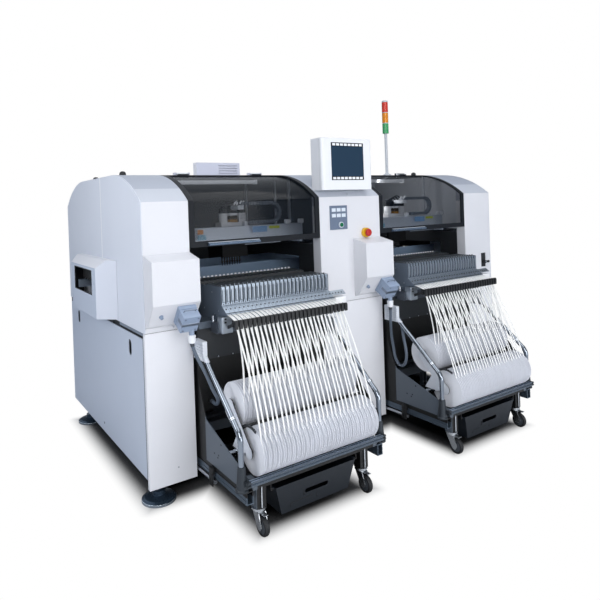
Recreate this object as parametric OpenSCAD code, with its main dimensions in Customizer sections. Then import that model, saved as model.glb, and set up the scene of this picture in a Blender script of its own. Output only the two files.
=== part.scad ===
// Modular pick and place machine with a feeder cart docked in each of its two front bays.
// Millimetres, Z up. The origin lies on the floor, in the middle of the outline.

/* [Body] */
// Width of the left column
left_col_w = 216; // [200:1:240]
// Width of the column between the bays
centre_col_w = 416; // [400:1:450]
// Width of the right column
right_col_w = 248; // [230:1:280]
// Clear width of each bay
bay_w = 725; // [720:1:760]
// Depth from the front face to the rear face
body_d = 1275; // [1250:5:1350]
// Height of the roof
body_h = 1430; // [1420:5:1480]
// Height of the curved brow between the front face and the roof
brow_h = 135; // [120:5:155]
// Depth of the curved brow
brow_d = 376; // [360:2:400]
// Height of the lower edge of the covers
skirt_z = 95; // [85:1:110]
// Distance of the board pass line below the roof
pass_drop = 530; // [510:1:540]
// Distance of the seam between lower and upper covers below the pass line
waist_drop = 152; // [144:1:158]
// Open strip between the lower side panels and the upper side covers
vent_gap = 26; // [16:1:36]
// Thickness of the sheet covers
cover_t = 4; // [3:0.5:5]

/* [Base frame] */
// Height of the underside of the frame
frame_z = 135; // [125:1:150]
// Distance of the machine bed below the pass line
bed_drop = 120; // [110:1:130]
// Depth of the cart bays
bay_d = 440; // [430:1:460]
// Height of the gantry rails above the pass line
rail_rise = 176; // [170:1:190]
// Height of the bridge beams under the gantry rails
bridge_h = 70; // [60:1:80]
// Diameter of the levelling foot pads
foot_d = 150; // [120:1:170]
// Reach of the docking bars in front of the columns
dock_reach = 150; // [120:1:180]

/* [Connector boxes] */
// Depth of the boxes in front of the columns
box_d = 95; // [80:1:110]
// Height of the rear top edge of the boxes above the pass line
box_top_rise = 172; // [160:1:180]
// Distance of the front lower edge of the boxes below the pass line
box_low_drop = 28; // [15:1:40]
// Width of the box on the centre column
centre_box_w = 195; // [180:1:210]

/* [Conveyor] */
// Distance of the board path behind the front face
conv_y = 650; // [640:1:665]
// Board width that the rails are set to
board_w = 250; // [150:1:270]
// Reach of the hoods past the side covers
hood_p = 80; // [60:1:100]
// Width of the outer face of the hoods
hood_face = 460; // [430:1:500]
// Height of the hoods
hood_h = 276; // [250:1:290]

/* [Front covers] */
// Height of the lower edge of the front covers above the pass line
front_low_rise = 189; // [184:1:200]
// Width of the frame round the window
frame_w = 26; // [18:1:40]
// Thickness of the frame
frame_t = 8; // [6:0.5:10]
// Thickness of the window
pane_t = 4; // [3:0.5:6]

/* [Gantry] */
// Distance of the beams behind the front face
beam_y = 240; // [230:1:260]
// Height of the beams
beam_h = 65; // [55:1:70]
// Width of the placing heads
head_w = 150; // [130:1:170]
// Number of nozzles on each head
nozzle_n = 8; // [4:1:8]

/* [Operator panel] */
// Width of the monitor housing
monitor_w = 340; // [300:1:380]
// Height of the monitor housing
monitor_h = 266; // [240:1:290]
// Depth of the monitor housing
monitor_d = 90; // [75:1:100]
// Diameter of the start button
start_d = 22; // [18:1:28]
// Diameter of the emergency stop
estop_d = 40; // [34:1:46]

/* [Signal tower] */
// Height of the pole
pole_h = 280; // [220:1:320]
// Diameter of the lamps
lamp_d = 40; // [34:1:60]
// Height of each lamp
lamp_h = 70; // [55:1:80]

/* [Cart] */
// Gap between the cart and each side of its bay
cart_gap = 10.5; // [8:0.5:16]
// Distance of the feeder table below the pass line
table_drop = 130; // [124:1:138]
// Diameter of the handle tubes
tube_d = 22; // [18:1:24]
// Height of the top of the side rails
cart_rail_z = 190; // [182:1:200]
// Width of the waste bin at its top
bin_w = 406; // [360:1:410]
// Depth of the waste bin
bin_d = 250; // [200:1:255]

/* [Feeders and reels] */
// Width of the feeder table that is left free of feeders
bank_margin = 105; // [80:1:130]
// Spacing of the feeders
feeder_pitch = 21.8; // [20:0.1:22]
// Height of the feeders above the table
feeder_h = 151; // [140:1:158]
// Diameter of the reels
reel_d = 178; // [170:1:180]
// Width of one reel
reel_w = 12; // [11:0.5:14]
// Spacing of the reels beyond that of the feeders
reel_spread = 0.2; // [0:0.1:0.6]

/* [Casters] */
// Diameter of the cart wheels
wheel_d = 75; // [65:1:80]
// Width of the cart wheels
wheel_w = 24; // [20:1:26]
// Distance of the front caster stems in front of the columns
caster_y = 366; // [360:1:370]
// Distance of the front caster stems from the sides of the cart
caster_inset = 86.5; // [80:0.5:92]
// Trail of the swivel casters
caster_trail = 27; // [22:1:30]

/* [Hidden] */
$fn = 48;
fit = 0.3;
// Axes of the reel rows: distance behind the front face, height
front_axis = [-360, 316];
rear_axis = [-225, 460];
body_w = left_col_w + centre_col_w + right_col_w + 2 * bay_w;
x_left = -body_w / 2;
bay_x = [x_left + left_col_w, x_left + left_col_w + bay_w + centre_col_w];
columns = [[x_left, bay_x[0]], [bay_x[0] + bay_w, bay_x[1]], [bay_x[1] + bay_w, -x_left]];
cart_reach = max(caster_y + caster_trail + wheel_d / 2, reel_d / 2 - front_axis[0]);
front_y = (cart_reach - body_d) / 2;
// Heights that follow the roof and the pass line
brow_z = body_h - brow_h;
pass_z = body_h - pass_drop;
waist_z = pass_z - waist_drop;
bed_z = pass_z - bed_drop;
rail_z = pass_z + rail_rise;
box_top_z = pass_z + box_top_rise;
box_low_z = pass_z - box_low_drop;
front_low_z = pass_z + front_low_rise;
table_z = pass_z - table_drop;
inner = cover_t + fit;
// Radius of the brow, which meets the roof as a tangent
brow_r = (brow_d * brow_d + brow_h * brow_h) / (2 * brow_h);
panel_low_z = frame_z - 2;
panel_top_z = waist_z - vent_gap;
edge_gap = 22;
flange_d = 60;
bridge_z = rail_z - 20 - bridge_h;
post_d = 190;
// Roof posts: side, distance from the bay and from the front face
roof_post = 12;
roof_post_in = 94;
roof_post_y = brow_d + 20;
guard_t = 3;
rear_guard_y = 2 * conv_y - bay_d - 4 - guard_t;
rear_post_y = conv_y + 230;
// Slanted underside of the connector boxes: start and direction, from front to rear
slant_from = [-box_d, box_low_z];
slant_to = [-30, box_low_z - 92];
slant_len = norm(slant_to - slant_from);
slant_dir = (slant_to - slant_from) / slant_len;
slant_out = [slant_dir[1], -slant_dir[0]];
plug_w = 80;
socket_h = 20;
plug_h = 50;
plug_x = [columns[0][0] + 114, columns[1][1] - 87];
jack_x = [columns[0][0] + 51, columns[1][1] - 160];
centre_box_x = columns[1][1] - centre_box_w;
hood_foot = hood_face + 150;
hood_z = waist_z + 6;
// Opening of the hoods and side covers: width, height, and its reach below the pass line
hood_open = [330, 114];
open_drop = 38;
seam_y = 569;
rail_feet = [for (c = columns, x = [c[0] + 60, c[1] - 60]) x];
hinge_y = brow_d + 2;
hinge_z = body_h + 8;
knuckle_r = 6;
hinge_pin_r = 3;
knuckle_l = 60;
knuckle_at = [0.2, 0.8];
grip_in = 88;
grip_l = 267;
rail_in = 20;
beam_d = 80;
beam_z = rail_z + 21;
carriage_l = 120;
guide_t = 10;
head_x = [29, 77];
head_plate_y = beam_y + beam_d / 2 + guide_t + fit;
head_plate_t = 18;
nozzle_y = head_plate_y + head_plate_t + 20;
housing_d = 60;
barrel_r = 14;
nozzle_pitch = 15;
nozzle_tip_z = rail_z - 118;
monitor_x = columns[1][0] + 4 + monitor_w / 2;
monitor_y = -30;
monitor_r = 16;
monitor_z = brow_z + 35;
screen = [monitor_w - 120, monitor_h - 73];
screen_z = monitor_z + 50;
key_panel_x = columns[1][0] + 123;
key_panel_z = brow_z - 108;
start_at = [key_panel_x + 12, key_panel_z - 38];
estop_at = [columns[1][0] + 304, box_top_z + estop_d / 2 + 8];
tower_at = [x_left + 1855, brow_d + 44];
cart_x = [for (b = bay_x) b + bay_w / 2 + 2.5];
cart_w = bay_w - 2 * cart_gap;
side_u = cart_w / 2;
feeder_n = floor((cart_w - bank_margin) / feeder_pitch);
reel_pitch = feeder_pitch + reel_spread;
plate_t = 4;
rail_u = 30;
cart_rail_h = 50;
cart_tail = 400;
member_z = [cart_rail_z - 5, cart_rail_z + 32];
bank_shift = 20;
bank_half = feeder_n * feeder_pitch / 2 + 22;
reel_shift = -5;
row_turn = atan2(rear_axis[1] - front_axis[1], rear_axis[0] - front_axis[0]);
axle_r = 8;
pack_r = 72;
tape_w = 8;
tape_t = 0.8;
tape_shift = 5.2;
tray_left = reel_shift - (feeder_n - 1) / 2 * reel_pitch - reel_w / 2 - 12;
tray_right = side_u - 5.5;
tray_rods = [[-262, 288], [-232, 268]];
feeder_front = -106;
feeder_lip = -150;
latch_w = 8;
lip_z = table_z + 36;
comb_at = [-205, table_z + 22];
guide_w = 14;
caster_u = -14.5;
caster_span = cart_w - 2 * caster_inset;
stem_r = 8;
fork_top_z = wheel_d + 28;
bin_u = -20;
bin_z = [50, cart_rail_z - 22];
bin_front_y = -405;
bin_taper = 32;
wall_t = 3;
tube_u = side_u + 6;
tube_foot_y = -378;
tube_bend_z = 397;
tube_top = [-100, table_z - 136];
bend_r = 60;
rib_n = 5;
bar_at = [-410, cart_rail_z + 33];
bar_w = 20;
gland_in = 58;
gland_y = -88;
gland_low_z = box_low_z - 172;
gland_u = [52 - side_u, 32 - side_u];
gland_z = [420, table_z - 130];
panel_y = -24;
gland_l = 12;
// Cable paths from the gland of the plug to the gland of the cart, as drawn for the standard sizes
cable_r = 7.5;
left_path = [[0, 0, 0], [0, 0, -16], [5, -9, -44], [19, -26, -88], [39, -42, -140], [61, -50, -195],
  [82, -46, -239], [98, -28, -264], [106.5, -2, -276], [109, 26, -280], [109, 52, -280]];
right_path = [[0, 0, 0], [0, 0, -16], [3, 2, -50], [15, 10, -110], [33, 21, -180], [43, 25, -238],
  [40.6, 17.4, -269], [34, -4.3, -291.7], [25, -34, -300], [16, -63.7, -291.7], [9.4, -85.4, -269],
  [7, -93, -238], [11, -88, -195], [24, -70, -148], [43, -18, -104], [63, 10, -72], [73, 30, -60.5],
  [74, 40, -60], [74, 52, -60]];

// Moves what is drawn from the front face of the columns to the middle of the outline
module seat() translate([0, front_y, 0]) children();

// Moves what is drawn from the middle of a cart to its bay
module cart(s) translate([cart_x[s], front_y, 0]) children();

// Box between two corners
module span(a, b) translate(a) cube(b - a);

// Round bars along X, Y and Z
module bar_x(r, x_a, x_b, y, z) translate([x_a, y, z]) rotate([0, 90, 0]) cylinder(r = r, h = x_b - x_a);
module bar_y(r, y_a, y_b, x, z) translate([x, y_a, z]) rotate([-90, 0, 0]) cylinder(r = r, h = y_b - y_a);
module bar_z(r, z_a, z_b, x, y) translate([x, y, z_a]) cylinder(r = r, h = z_b - z_a);

// Plate with an outline in Y and Z
module plate_yz(x_a, x_b) translate([x_a, 0, 0]) rotate([90, 0, 90]) linear_extrude(x_b - x_a) children();

// Plate with an outline in X and Z
module plate_xz(y_a, y_b) translate([0, y_b, 0]) rotate([90, 0, 0]) linear_extrude(y_b - y_a) children();

// Solid under the curved brow, inset by t
module brow(x_a, x_b, t, z_a)
  intersection() {
    span([x_a, t, z_a], [x_b, brow_d, body_h - t]);
    bar_x(brow_r - t, x_a - 1, x_b + 1, brow_d, body_h - brow_r);
  }

// The same form at the rear
module rear() translate([0, body_d, 0]) mirror([0, 1, 0]) children();

// End wall with the outline of the machine
module end_wall(x_a, x_b, y_a, y_b)
  intersection() {
    union() {
      brow(x_a, x_b, 0, waist_z);
      span([x_a, brow_d, waist_z], [x_b, body_d - brow_d, body_h]);
      rear() brow(x_a, x_b, 0, waist_z);
    }
    span([x_a - 1, y_a, waist_z - 1], [x_b + 1, y_b, body_h + 1]);
  }

module mirror_x() {
  children();
  mirror([1, 0, 0]) children();
}

module base_frame() seat() color("#1d2024") {
  for (c = columns) {
    x_a = c[0] + inner;
    x_b = c[1] - inner;
    // Pedestals and uprights stand inside the folded sides of the upper covers
    in_a = max(x_a, x_left + 2 * inner);
    in_b = min(x_b, -x_left - 2 * inner);
    span([in_a, inner, frame_z], [in_b, bay_d - fit, bed_z]);
    span([in_a, inner, bed_z + fit], [in_b, inner + post_d, bridge_z]);
    span([in_a, rear_post_y, bed_z + fit], [in_b, body_d - inner, bridge_z]);
    span([in_a, inner, bridge_z + fit], [in_b, body_d - inner, bridge_z + bridge_h]);
  }
  span([x_left + inner, bay_d, frame_z], [-x_left - inner, body_d - inner, bed_z]);
  // Roof posts on the bridges, beside the gantry rails
  for (b = bay_x, x = [b - roof_post_in, b + bay_w + roof_post_in], y = [roof_post_y, body_d - roof_post_y])
    span([x - roof_post / 2, y - roof_post / 2, bridge_z + bridge_h + fit],
      [x + roof_post / 2, y + roof_post / 2, body_h - inner]);
  for (b = bay_x, x = [b + 12, b + bay_w - 12]) {
    bar_y(8, -dock_reach, bay_d + 160, x, frame_z - 8 - fit);
  }
}

module levelling_feet() seat() color("#3a3d42")
  for (x = [x_left + 74, (columns[1][0] + columns[1][1]) / 2, -x_left - 74], y = [96, body_d - 96])
    translate([x, y, 0]) rotate_extrude()
      polygon([[0, 0], [foot_d / 2, 0], [foot_d / 2, 10], [foot_d / 2 - 14, 18], [28, 26], [28, 44], [12, 44],
        [12, frame_z - 30], [24, frame_z - 30], [24, frame_z - fit], [0, frame_z - fit]]);

// Oval hand hole through a side panel
module hand_hole(y, z)
  for (dz = [-15, 15]) {
    bar_x(20, x_left - 1, x_left + cover_t + 1, y, z + dz);
    span([x_left - 1, y - 20, z - 15], [x_left + cover_t + 1, y + 20, z + 15]);
  }

module lower_side_panels() seat() color("#eceff4") mirror_x()
  difference() {
    span([x_left, edge_gap, panel_low_z], [x_left + cover_t, body_d - edge_gap, panel_top_z]);
    hand_hole(192, panel_top_z - 66);
    hand_hole(body_d - 192, panel_top_z - 66);
    bar_x(6, x_left - 1, x_left + cover_t + 1, body_d / 2, panel_low_z + 44);
  }

module upper_side_covers() seat() color("#e6ebf3") mirror_x()
  for (half = [[0, seam_y - 1], [seam_y + 1, body_d]])
    difference() {
      end_wall(x_left, x_left + cover_t, half[0], half[1]);
      board_opening(x_left);
    }

// Opening for the boards through a cover whose outer face is at x
module board_opening(x)
  translate([x - 1, conv_y - hood_open[0] / 2, pass_z - open_drop])
    cube([cover_t + 2, hood_open[0], hood_open[1]]);

// Hood form, inset by t
module hood_form(t, x_in)
  intersection() {
    translate([0, conv_y, hood_z + t]) linear_extrude(hood_h - 2 * t)
      polygon([[x_in, t - hood_foot / 2], [x_in, hood_foot / 2 - t],
        [x_left - hood_p + t, hood_face / 2 - t], [x_left - hood_p + t, t - hood_face / 2]]);
    plate_xz(0, body_d)
      polygon([[x_in, hood_z], [x_in, hood_z + hood_h - t], [x_left - hood_p / 2, hood_z + hood_h - t],
        [x_left - hood_p + t, hood_z + hood_h - 36 - t], [x_left - hood_p + t, hood_z]]);
  }

module conveyor_hoods() seat() color("#f1f3f7") mirror_x()
  difference() {
    hood_form(0, x_left - fit);
    hood_form(cover_t, x_left + 1);
    board_opening(x_left - hood_p);
  }

// Front cover of a column below the waist, with folded sides
module column_skirt(x_a, x_b, left_d, right_d)
  difference() {
    span([x_a, 0, skirt_z], [x_b, max(left_d, right_d), waist_z - 2]);
    span([x_a + cover_t, cover_t, skirt_z - 1], [x_b - cover_t, bay_d, waist_z]);
    span([x_a - 1, left_d, skirt_z - 1], [x_a + cover_t + 1, bay_d, waist_z]);
    span([x_b - cover_t - 1, right_d, skirt_z - 1], [x_b + 1, bay_d, waist_z]);
  }

module lower_column_covers() seat() color("#f4f5f8") {
  column_skirt(columns[0][0], columns[0][1], edge_gap - 2, 140);
  column_skirt(columns[1][0], columns[1][1], 140, 140);
  column_skirt(columns[2][0], columns[2][1], 140, edge_gap - 2);
}

// Front cover of a column above the waist: face, brow and folded sides
module column_cover(x_a, x_b)
  difference() {
    brow(x_a, x_b, 0, waist_z);
    translate([0, 0.01, 0]) brow(x_a + cover_t, x_b - cover_t, cover_t, waist_z - 1);
    intersection() {
      translate([0, 0.01, 0]) brow(x_a - 1, x_b + 1, cover_t, waist_z - 1);
      span([x_a - 1, flange_d, waist_z - 1], [x_b + 1, brow_d + 1, body_h]);
    }
    span([x_a - 1, brow_d - fit, waist_z - 1], [x_b + 1, brow_d + 1, body_h + 1]);
  }

// Box in front of a column, with a slanted underside
module connector_box(x_a, x_b)
  difference() {
    plate_yz(x_a, x_b)
      polygon([[0, box_top_z], [-box_d, box_top_z - 22], slant_from, slant_to, [0, slant_to[1] - 12]]);
    plate_yz(x_a + cover_t, x_b - cover_t)
      polygon([[1, box_top_z - cover_t], [cover_t - box_d, box_top_z - 22 - cover_t],
        slant_from + [cover_t, cover_t / 2], slant_to + [cover_t, cover_t * 2],
        [1, slant_to[1] - 12 + cover_t * 2]]);
  }

module upper_column_covers() seat() color("#f4f5f8") {
  column_cover(columns[0][0] + inner, columns[0][1]);
  connector_box(columns[0][0] + inner, columns[0][1]);
  column_cover(columns[1][0], columns[1][1]);
  connector_box(centre_box_x, columns[1][1]);
  difference() {
    column_cover(columns[2][0], columns[2][1] - inner);
    translate([columns[2][1] - 96, -1, waist_z + 77]) cube([46, cover_t + 2, 87]);
  }
}

module roof_cover() seat() color("#f0f2f5") {
  difference() {
    span([x_left + inner, brow_d + fit, body_h - cover_t], [-x_left - inner, body_d - brow_d - fit, body_h]);
    for (b = bay_x, k = knuckle_at)
      translate([b + bay_w * k - knuckle_l / 2 - 1, brow_d - 1, body_h - cover_t - 1])
        cube([knuckle_l + 2, knuckle_r + 5, cover_t + 2]);
  }
  // Hinge pins on their brackets, one on each side of each knuckle
  for (b = bay_x, k = knuckle_at) {
    x_m = b + bay_w * k;
    bar_x(hinge_pin_r, x_m - knuckle_l / 2 - 14, x_m + knuckle_l / 2 + 14, hinge_y, hinge_z);
    for (side = [-1, 1])
      translate([x_m + side * (knuckle_l / 2 + 8) - 6, hinge_y - 2.5, body_h - cover_t])
        cube([12, 14, hinge_z - body_h + cover_t + 6]);
  }
  vent_hood();
}

// Vent hood on the roof, with louvres in its front
module vent_hood()
  difference() {
    translate([bay_x[0] + bay_w / 2 - 75, brow_d + 124, body_h]) cube([270, 40, 78]);
    for (i = [0 : 3])
      translate([bay_x[0] + bay_w / 2 + 60, brow_d + 123, body_h + 16 + 14 * i]) cube([120, 8, 5]);
  }

module eyebolt_caps() seat() color("#222428")
  for (x = [x_left + 65, -x_left - 238], y = [brow_d + 30, body_d - brow_d - 30])
    translate([x, y, body_h + fit]) rotate_extrude()
      polygon([[0, 0], [16, 0], [16, 8], [14, 15], [9, 20], [0, 22]]);

module rear_panels() seat() color("#eceff4") {
  for (half = [[x_left + inner, -1], [1, -x_left - inner]]) {
    rear() difference() {
      brow(half[0], half[1], 0, waist_z);
      translate([0, 0.01, 0]) brow(half[0] - 1, half[1] + 1, cover_t, waist_z - 1);
      span([half[0] - 1, brow_d - fit, waist_z - 1], [half[1] + 1, brow_d + 1, body_h + 1]);
    }
    difference() {
      span([half[0], body_d - cover_t, panel_low_z], [half[1], body_d, panel_top_z]);
      for (i = [0 : 9], k = [0.3, 0.7])
        translate([half[0] + (half[1] - half[0]) * k - 90, body_d - cover_t - 1, panel_low_z + 90 + 20 * i])
          cube([180, cover_t + 2, 7]);
      for (k = [0.12, 0.88])
        translate([half[0] + (half[1] - half[0]) * k - 20, body_d - cover_t - 1, panel_top_z - 120])
          cube([40, cover_t + 2, 70]);
    }
  }
}

// Front cover sheet between two depths, from the lower edge to the hinge
module cover_sheet(x_a, x_b, t_a, t_b, z_a, y_b)
  difference() {
    brow(x_a, x_b, t_a, z_a);
    translate([0, 0.01, 0]) brow(x_a - 1, x_b + 1, t_b, z_a - 1);
    span([x_a - 1, y_b, z_a - 1], [x_b + 1, brow_d + 1, body_h + 1]);
  }

module front_cover_frame(s) seat() color("#17191c") {
  x_a = bay_x[s] + 2;
  x_b = bay_x[s] + bay_w - 2;
  difference() {
    cover_sheet(x_a, x_b, 0, frame_t, front_low_z, brow_d - 1);
    intersection() {
      brow(x_a + frame_w, x_b - frame_w, -1, front_low_z + frame_w);
      span([x_a, -2, front_low_z + frame_w], [x_b, brow_d - frame_w, body_h + 1]);
    }
  }
  // Grip on the lower edge
  plate_yz(x_a + grip_in, x_a + grip_in + grip_l)
    polygon([[0, front_low_z + 3], [-18, front_low_z + 6], [-18, front_low_z + 12], [-14, front_low_z + 12],
      [-12, front_low_z + 17], [0, front_low_z + 19]]);
  // Hinge knuckles with their leaves
  for (k = knuckle_at) {
    x_m = bay_x[s] + bay_w * k;
    difference() {
      union() {
        bar_x(knuckle_r, x_m - knuckle_l / 2, x_m + knuckle_l / 2, hinge_y, hinge_z);
        span([x_m - knuckle_l / 2, brow_d - 20, body_h - frame_t / 2],
          [x_m + knuckle_l / 2, brow_d - 2, hinge_z - 2]);
        span([x_m - knuckle_l / 2, brow_d - 12, hinge_z - 6], [x_m + knuckle_l / 2, hinge_y, hinge_z - 2]);
      }
      bar_x(hinge_pin_r + fit, x_m - knuckle_l, x_m + knuckle_l, hinge_y, hinge_z);
    }
  }
}

module front_cover_window(s) seat() color("#3a3f46", 0.6) {
  lap = 10;
  cover_sheet(bay_x[s] + frame_w - lap, bay_x[s] + bay_w - frame_w + lap, frame_t + fit,
    frame_t + fit + pane_t, front_low_z + frame_w - lap, brow_d - frame_w + lap);
}

// Rail of the conveyor with a groove for the board edge; the board lies on the +Y side
module conveyor_rail(y, foot_z)
  union() {
    plate_yz(x_left - hood_p + 12, -x_left + hood_p - 12)
      polygon([[y - 14, pass_z - 34], [y, pass_z - 34], [y, pass_z - 10], [y + 5, pass_z - 10],
        [y + 5, pass_z], [y - 3, pass_z], [y - 3, pass_z + 4], [y + 2, pass_z + 7], [y - 14, pass_z + 7]]);
    for (x = rail_feet) span([x - 15, y - 13, foot_z], [x + 15, y - 1, pass_z - 33]);
  }

module conveyor_fixed_rails() seat() color("#8d99a8") {
  conveyor_rail(conv_y - board_w / 2, bed_z + fit);
  // Guides that carry the adjustable rail
  for (x = rail_feet)
    span([x - 8, conv_y - board_w / 2 + 6, bed_z + fit], [x + 8, rear_guard_y - 4, bed_z + 16]);
  // Guards in front of the board path and behind it
  for (y = [bay_d + 4, rear_guard_y])
    span([x_left + 2 * inner, y, bed_z + fit], [-x_left - 2 * inner, y + guard_t, pass_z + 48]);
}

module conveyor_moving_rail() seat() color("#9aa5b2")
  translate([0, 2 * conv_y, 0]) mirror([0, 1, 0]) conveyor_rail(conv_y - board_w / 2, bed_z + 16 + fit);

module gantry_rails() seat() color("#b9c0c8")
  for (b = bay_x, x = [b - inner - rail_in, b + bay_w + inner + rail_in])
    plate_yz(x - 10, x + 10)
      polygon([[20, rail_z - 20 + fit], [body_d - 40, rail_z - 20 + fit], [body_d - 40, rail_z],
        [20, rail_z]]);

module beam(s) seat() color("#c3c9d1") {
  x_a = bay_x[s] - inner - rail_in;
  x_b = bay_x[s] + bay_w + inner + rail_in;
  front = beam_y - beam_d / 2;
  difference() {
    span([x_a - 14, front, beam_z], [x_b + 14, front + beam_d, beam_z + beam_h]);
    span([x_a + 40, front + 10, beam_z - 1], [x_b - 40, front + beam_d - 10, beam_z + beam_h - 10]);
  }
  // Guide on the rear of the beam
  span([x_a + 30, front + beam_d, beam_z + beam_h / 2 - 8],
    [x_b - 30, front + beam_d + guide_t, beam_z + beam_h / 2 + 8]);
  // Carriages on the rails
  for (x = [x_a, x_b])
    difference() {
      span([x - 16, beam_y - carriage_l / 2, rail_z - 12], [x + 16, beam_y + carriage_l / 2, beam_z]);
      span([x - 10 - fit, beam_y - carriage_l, rail_z - 13],
        [x + 10 + fit, beam_y + carriage_l, rail_z + fit]);
    }
}

module head(s) seat() color("#e4e6ea") {
  x_m = bay_x[s] + bay_w / 2 + head_x[s];
  z_m = beam_z + beam_h / 2;
  half = head_w / 2;
  top = beam_z + beam_h + 20;
  back = head_plate_y + head_plate_t;
  // Carriage plate with the blocks that run on the guide
  span([x_m - half, head_plate_y, nozzle_tip_z + 45], [x_m + half, back, top]);
  for (dz = [-8 - fit - 8, 8 + fit])
    span([x_m - half, head_plate_y - guide_t + 1, z_m + dz], [x_m + half, head_plate_y + 1, z_m + dz + 8]);
  // Drive housing above the nozzles
  span([x_m - half + 8, back - 1, beam_z - 8], [x_m + half - 8, back + housing_d, top]);
  // Motor, then the amplifier with its lid, then the valve block with cooling grooves
  bar_z(22, top - 1, top + 78, x_m - half + 29, back + 16);
  bar_z(14, top + 77, top + 86, x_m - half + 29, back + 16);
  span([x_m - 18, head_plate_y + 6, top - 1], [x_m + 24, back + 44, top + 72]);
  span([x_m - 14, head_plate_y + 10, top + 71], [x_m + 20, back + 40, top + 84]);
  difference() {
    span([x_m + 32, head_plate_y + 4, top - 1], [x_m + half - 3, back + 52, top + 64]);
    for (i = [0 : 3])
      span([x_m + 37 + 8 * i, head_plate_y + 3, top + 12], [x_m + 41 + 8 * i, head_plate_y + 9, top + 56]);
  }
  // Camera barrel
  bar_z(barrel_r, nozzle_tip_z + 62, beam_z - 7, x_m + half - 22, back + 40);
}

module nozzles(s) seat() color("#2b2e33") {
  x_h = bay_x[s] + bay_w / 2 + head_x[s];
  x_m = x_h - 6;
  back = head_plate_y + head_plate_t;
  half = (nozzle_n - 1) * nozzle_pitch / 2;
  difference() {
    span([x_m - half - 8, back + fit, nozzle_tip_z + 60], [x_m + half + 8, nozzle_y + 10, nozzle_tip_z + 86]);
    bar_z(barrel_r + 0.5, nozzle_tip_z, beam_z, x_h + head_w / 2 - 22, back + 40);
  }
  for (i = [0 : nozzle_n - 1])
    translate([x_m - half + i * nozzle_pitch, nozzle_y, nozzle_tip_z]) rotate_extrude()
      polygon([[0, 0], [1.5, 0], [2.5, 14], [6, 18], [6, 22], [4, 24], [4, 61], [0, 61]]);
}

module monitor_housing() seat() color("#eef0f4")
  difference() {
    // Plan with rounded front corners
    translate([monitor_x, monitor_y, monitor_z]) linear_extrude(monitor_h) {
      translate([-monitor_w / 2, monitor_r]) square([monitor_w, monitor_d - monitor_r]);
      translate([monitor_r - monitor_w / 2, 0]) square([monitor_w - 2 * monitor_r, monitor_d]);
      for (x = [-1, 1] * (monitor_w / 2 - monitor_r)) translate([x, monitor_r]) circle(monitor_r);
    }
    brow(monitor_x - monitor_w, monitor_x + monitor_w, -fit, waist_z);
    // Recess of the screen
    translate([monitor_x - screen[0] / 2 - fit, monitor_y - 1, screen_z - fit])
      cube([screen[0] + 2 * fit, 5, screen[1] + 2 * fit]);
    // Parting groove round the housing
    difference() {
      translate([monitor_x - monitor_w, monitor_y + 24, monitor_z - 1])
        cube([monitor_w * 2, 3, monitor_h + 2]);
      translate([monitor_x - monitor_w / 2 + 2, monitor_y, monitor_z + 2])
        cube([monitor_w - 4, monitor_d, monitor_h - 4]);
    }
  }

module monitor_screen() seat() color("#26344f")
  translate([monitor_x - screen[0] / 2, monitor_y + 0.7, screen_z]) cube([screen[0], 3, screen[1]]);

module control_panel() seat() color("#9fb0c2") {
  difference() {
    union() {
      translate([key_panel_x - 58, -3 - fit, key_panel_z - 62]) cube([116, 3, 124]);
      bar_y(start_d / 2 + 4, -10 - fit, -fit, start_at[0], start_at[1]);
    }
    bar_y(start_d / 2 + fit, -20, -1 - fit, start_at[0], start_at[1]);
  }
  for (i = [-1 : 1], j = [0 : 1])
    translate([key_panel_x + 33 * i - 13, -4 - fit, key_panel_z + 2 + 29 * j]) cube([26, 2, 18]);
  // Base of the emergency stop
  difference() {
    bar_y(estop_d / 2 + 5, -18, -fit, estop_at[0], estop_at[1]);
    bar_y(8 + fit, -19, -2, estop_at[0], estop_at[1]);
  }
}

module start_button() seat() color("#2fa45a")
  bar_y(start_d / 2, -13, -6, start_at[0], start_at[1]);

module estop_button() seat() color("#c62f2b")
  translate([estop_at[0], -8, estop_at[1]]) rotate([90, 0, 0]) rotate_extrude()
    polygon([[0, 0], [8, 0], [8, 16], [estop_d / 2 - 3, 16], [estop_d / 2, 19], [estop_d / 2, 24],
      [estop_d / 2 - 3, 28], [0, 30]]);

module signal_tower() seat() color("#c8ccd2")
  translate([tower_at[0], tower_at[1], body_h + fit]) {
    rotate_extrude() polygon([[0, 0], [28, 0], [28, 6], [13, 14], [9, 20], [9, pole_h], [0, pole_h]]);
    for (i = [0 : 2])
      translate([0, 0, pole_h + i * lamp_h]) rotate_extrude()
        polygon([[0, 0], [lamp_d / 2, 0], [lamp_d / 2, lamp_h - 5], [lamp_d / 2 - 2, lamp_h - 4],
          [lamp_d / 2 - 2, lamp_h], [0, lamp_h]]);
    translate([0, 0, pole_h + 3 * lamp_h]) rotate_extrude()
      polygon([[0, 0], [lamp_d / 2, 0], [lamp_d / 2 - 2, 6], [lamp_d / 2 - 10, 9], [0, 10]]);
  }

// Point on the slanted underside of a box: s along it, h away from it
function on_slant(s, h) = slant_from + slant_dir * s + slant_out * h;

module slant_block(x_a, x_b, s_a, s_b, h_a, h_b)
  plate_yz(x_a, x_b)
    polygon([on_slant(s_a, h_a), on_slant(s_b, h_a), on_slant(s_b, h_b), on_slant(s_a, h_b)]);

module cart_sockets() seat() color("#8f9fb4") {
  for (x = plug_x) slant_block(x, x + plug_w, 14, 100, fit, socket_h);
  for (x = jack_x)
    translate([x, on_slant(60, fit)[0], on_slant(60, fit)[1]])
      rotate([atan2(-slant_out[0], slant_out[1]), 0, 0]) rotate_extrude()
        polygon([[3, 0], [9, 0], [9, 3], [7, 3], [7, 12], [3, 12]]);
}

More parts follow.
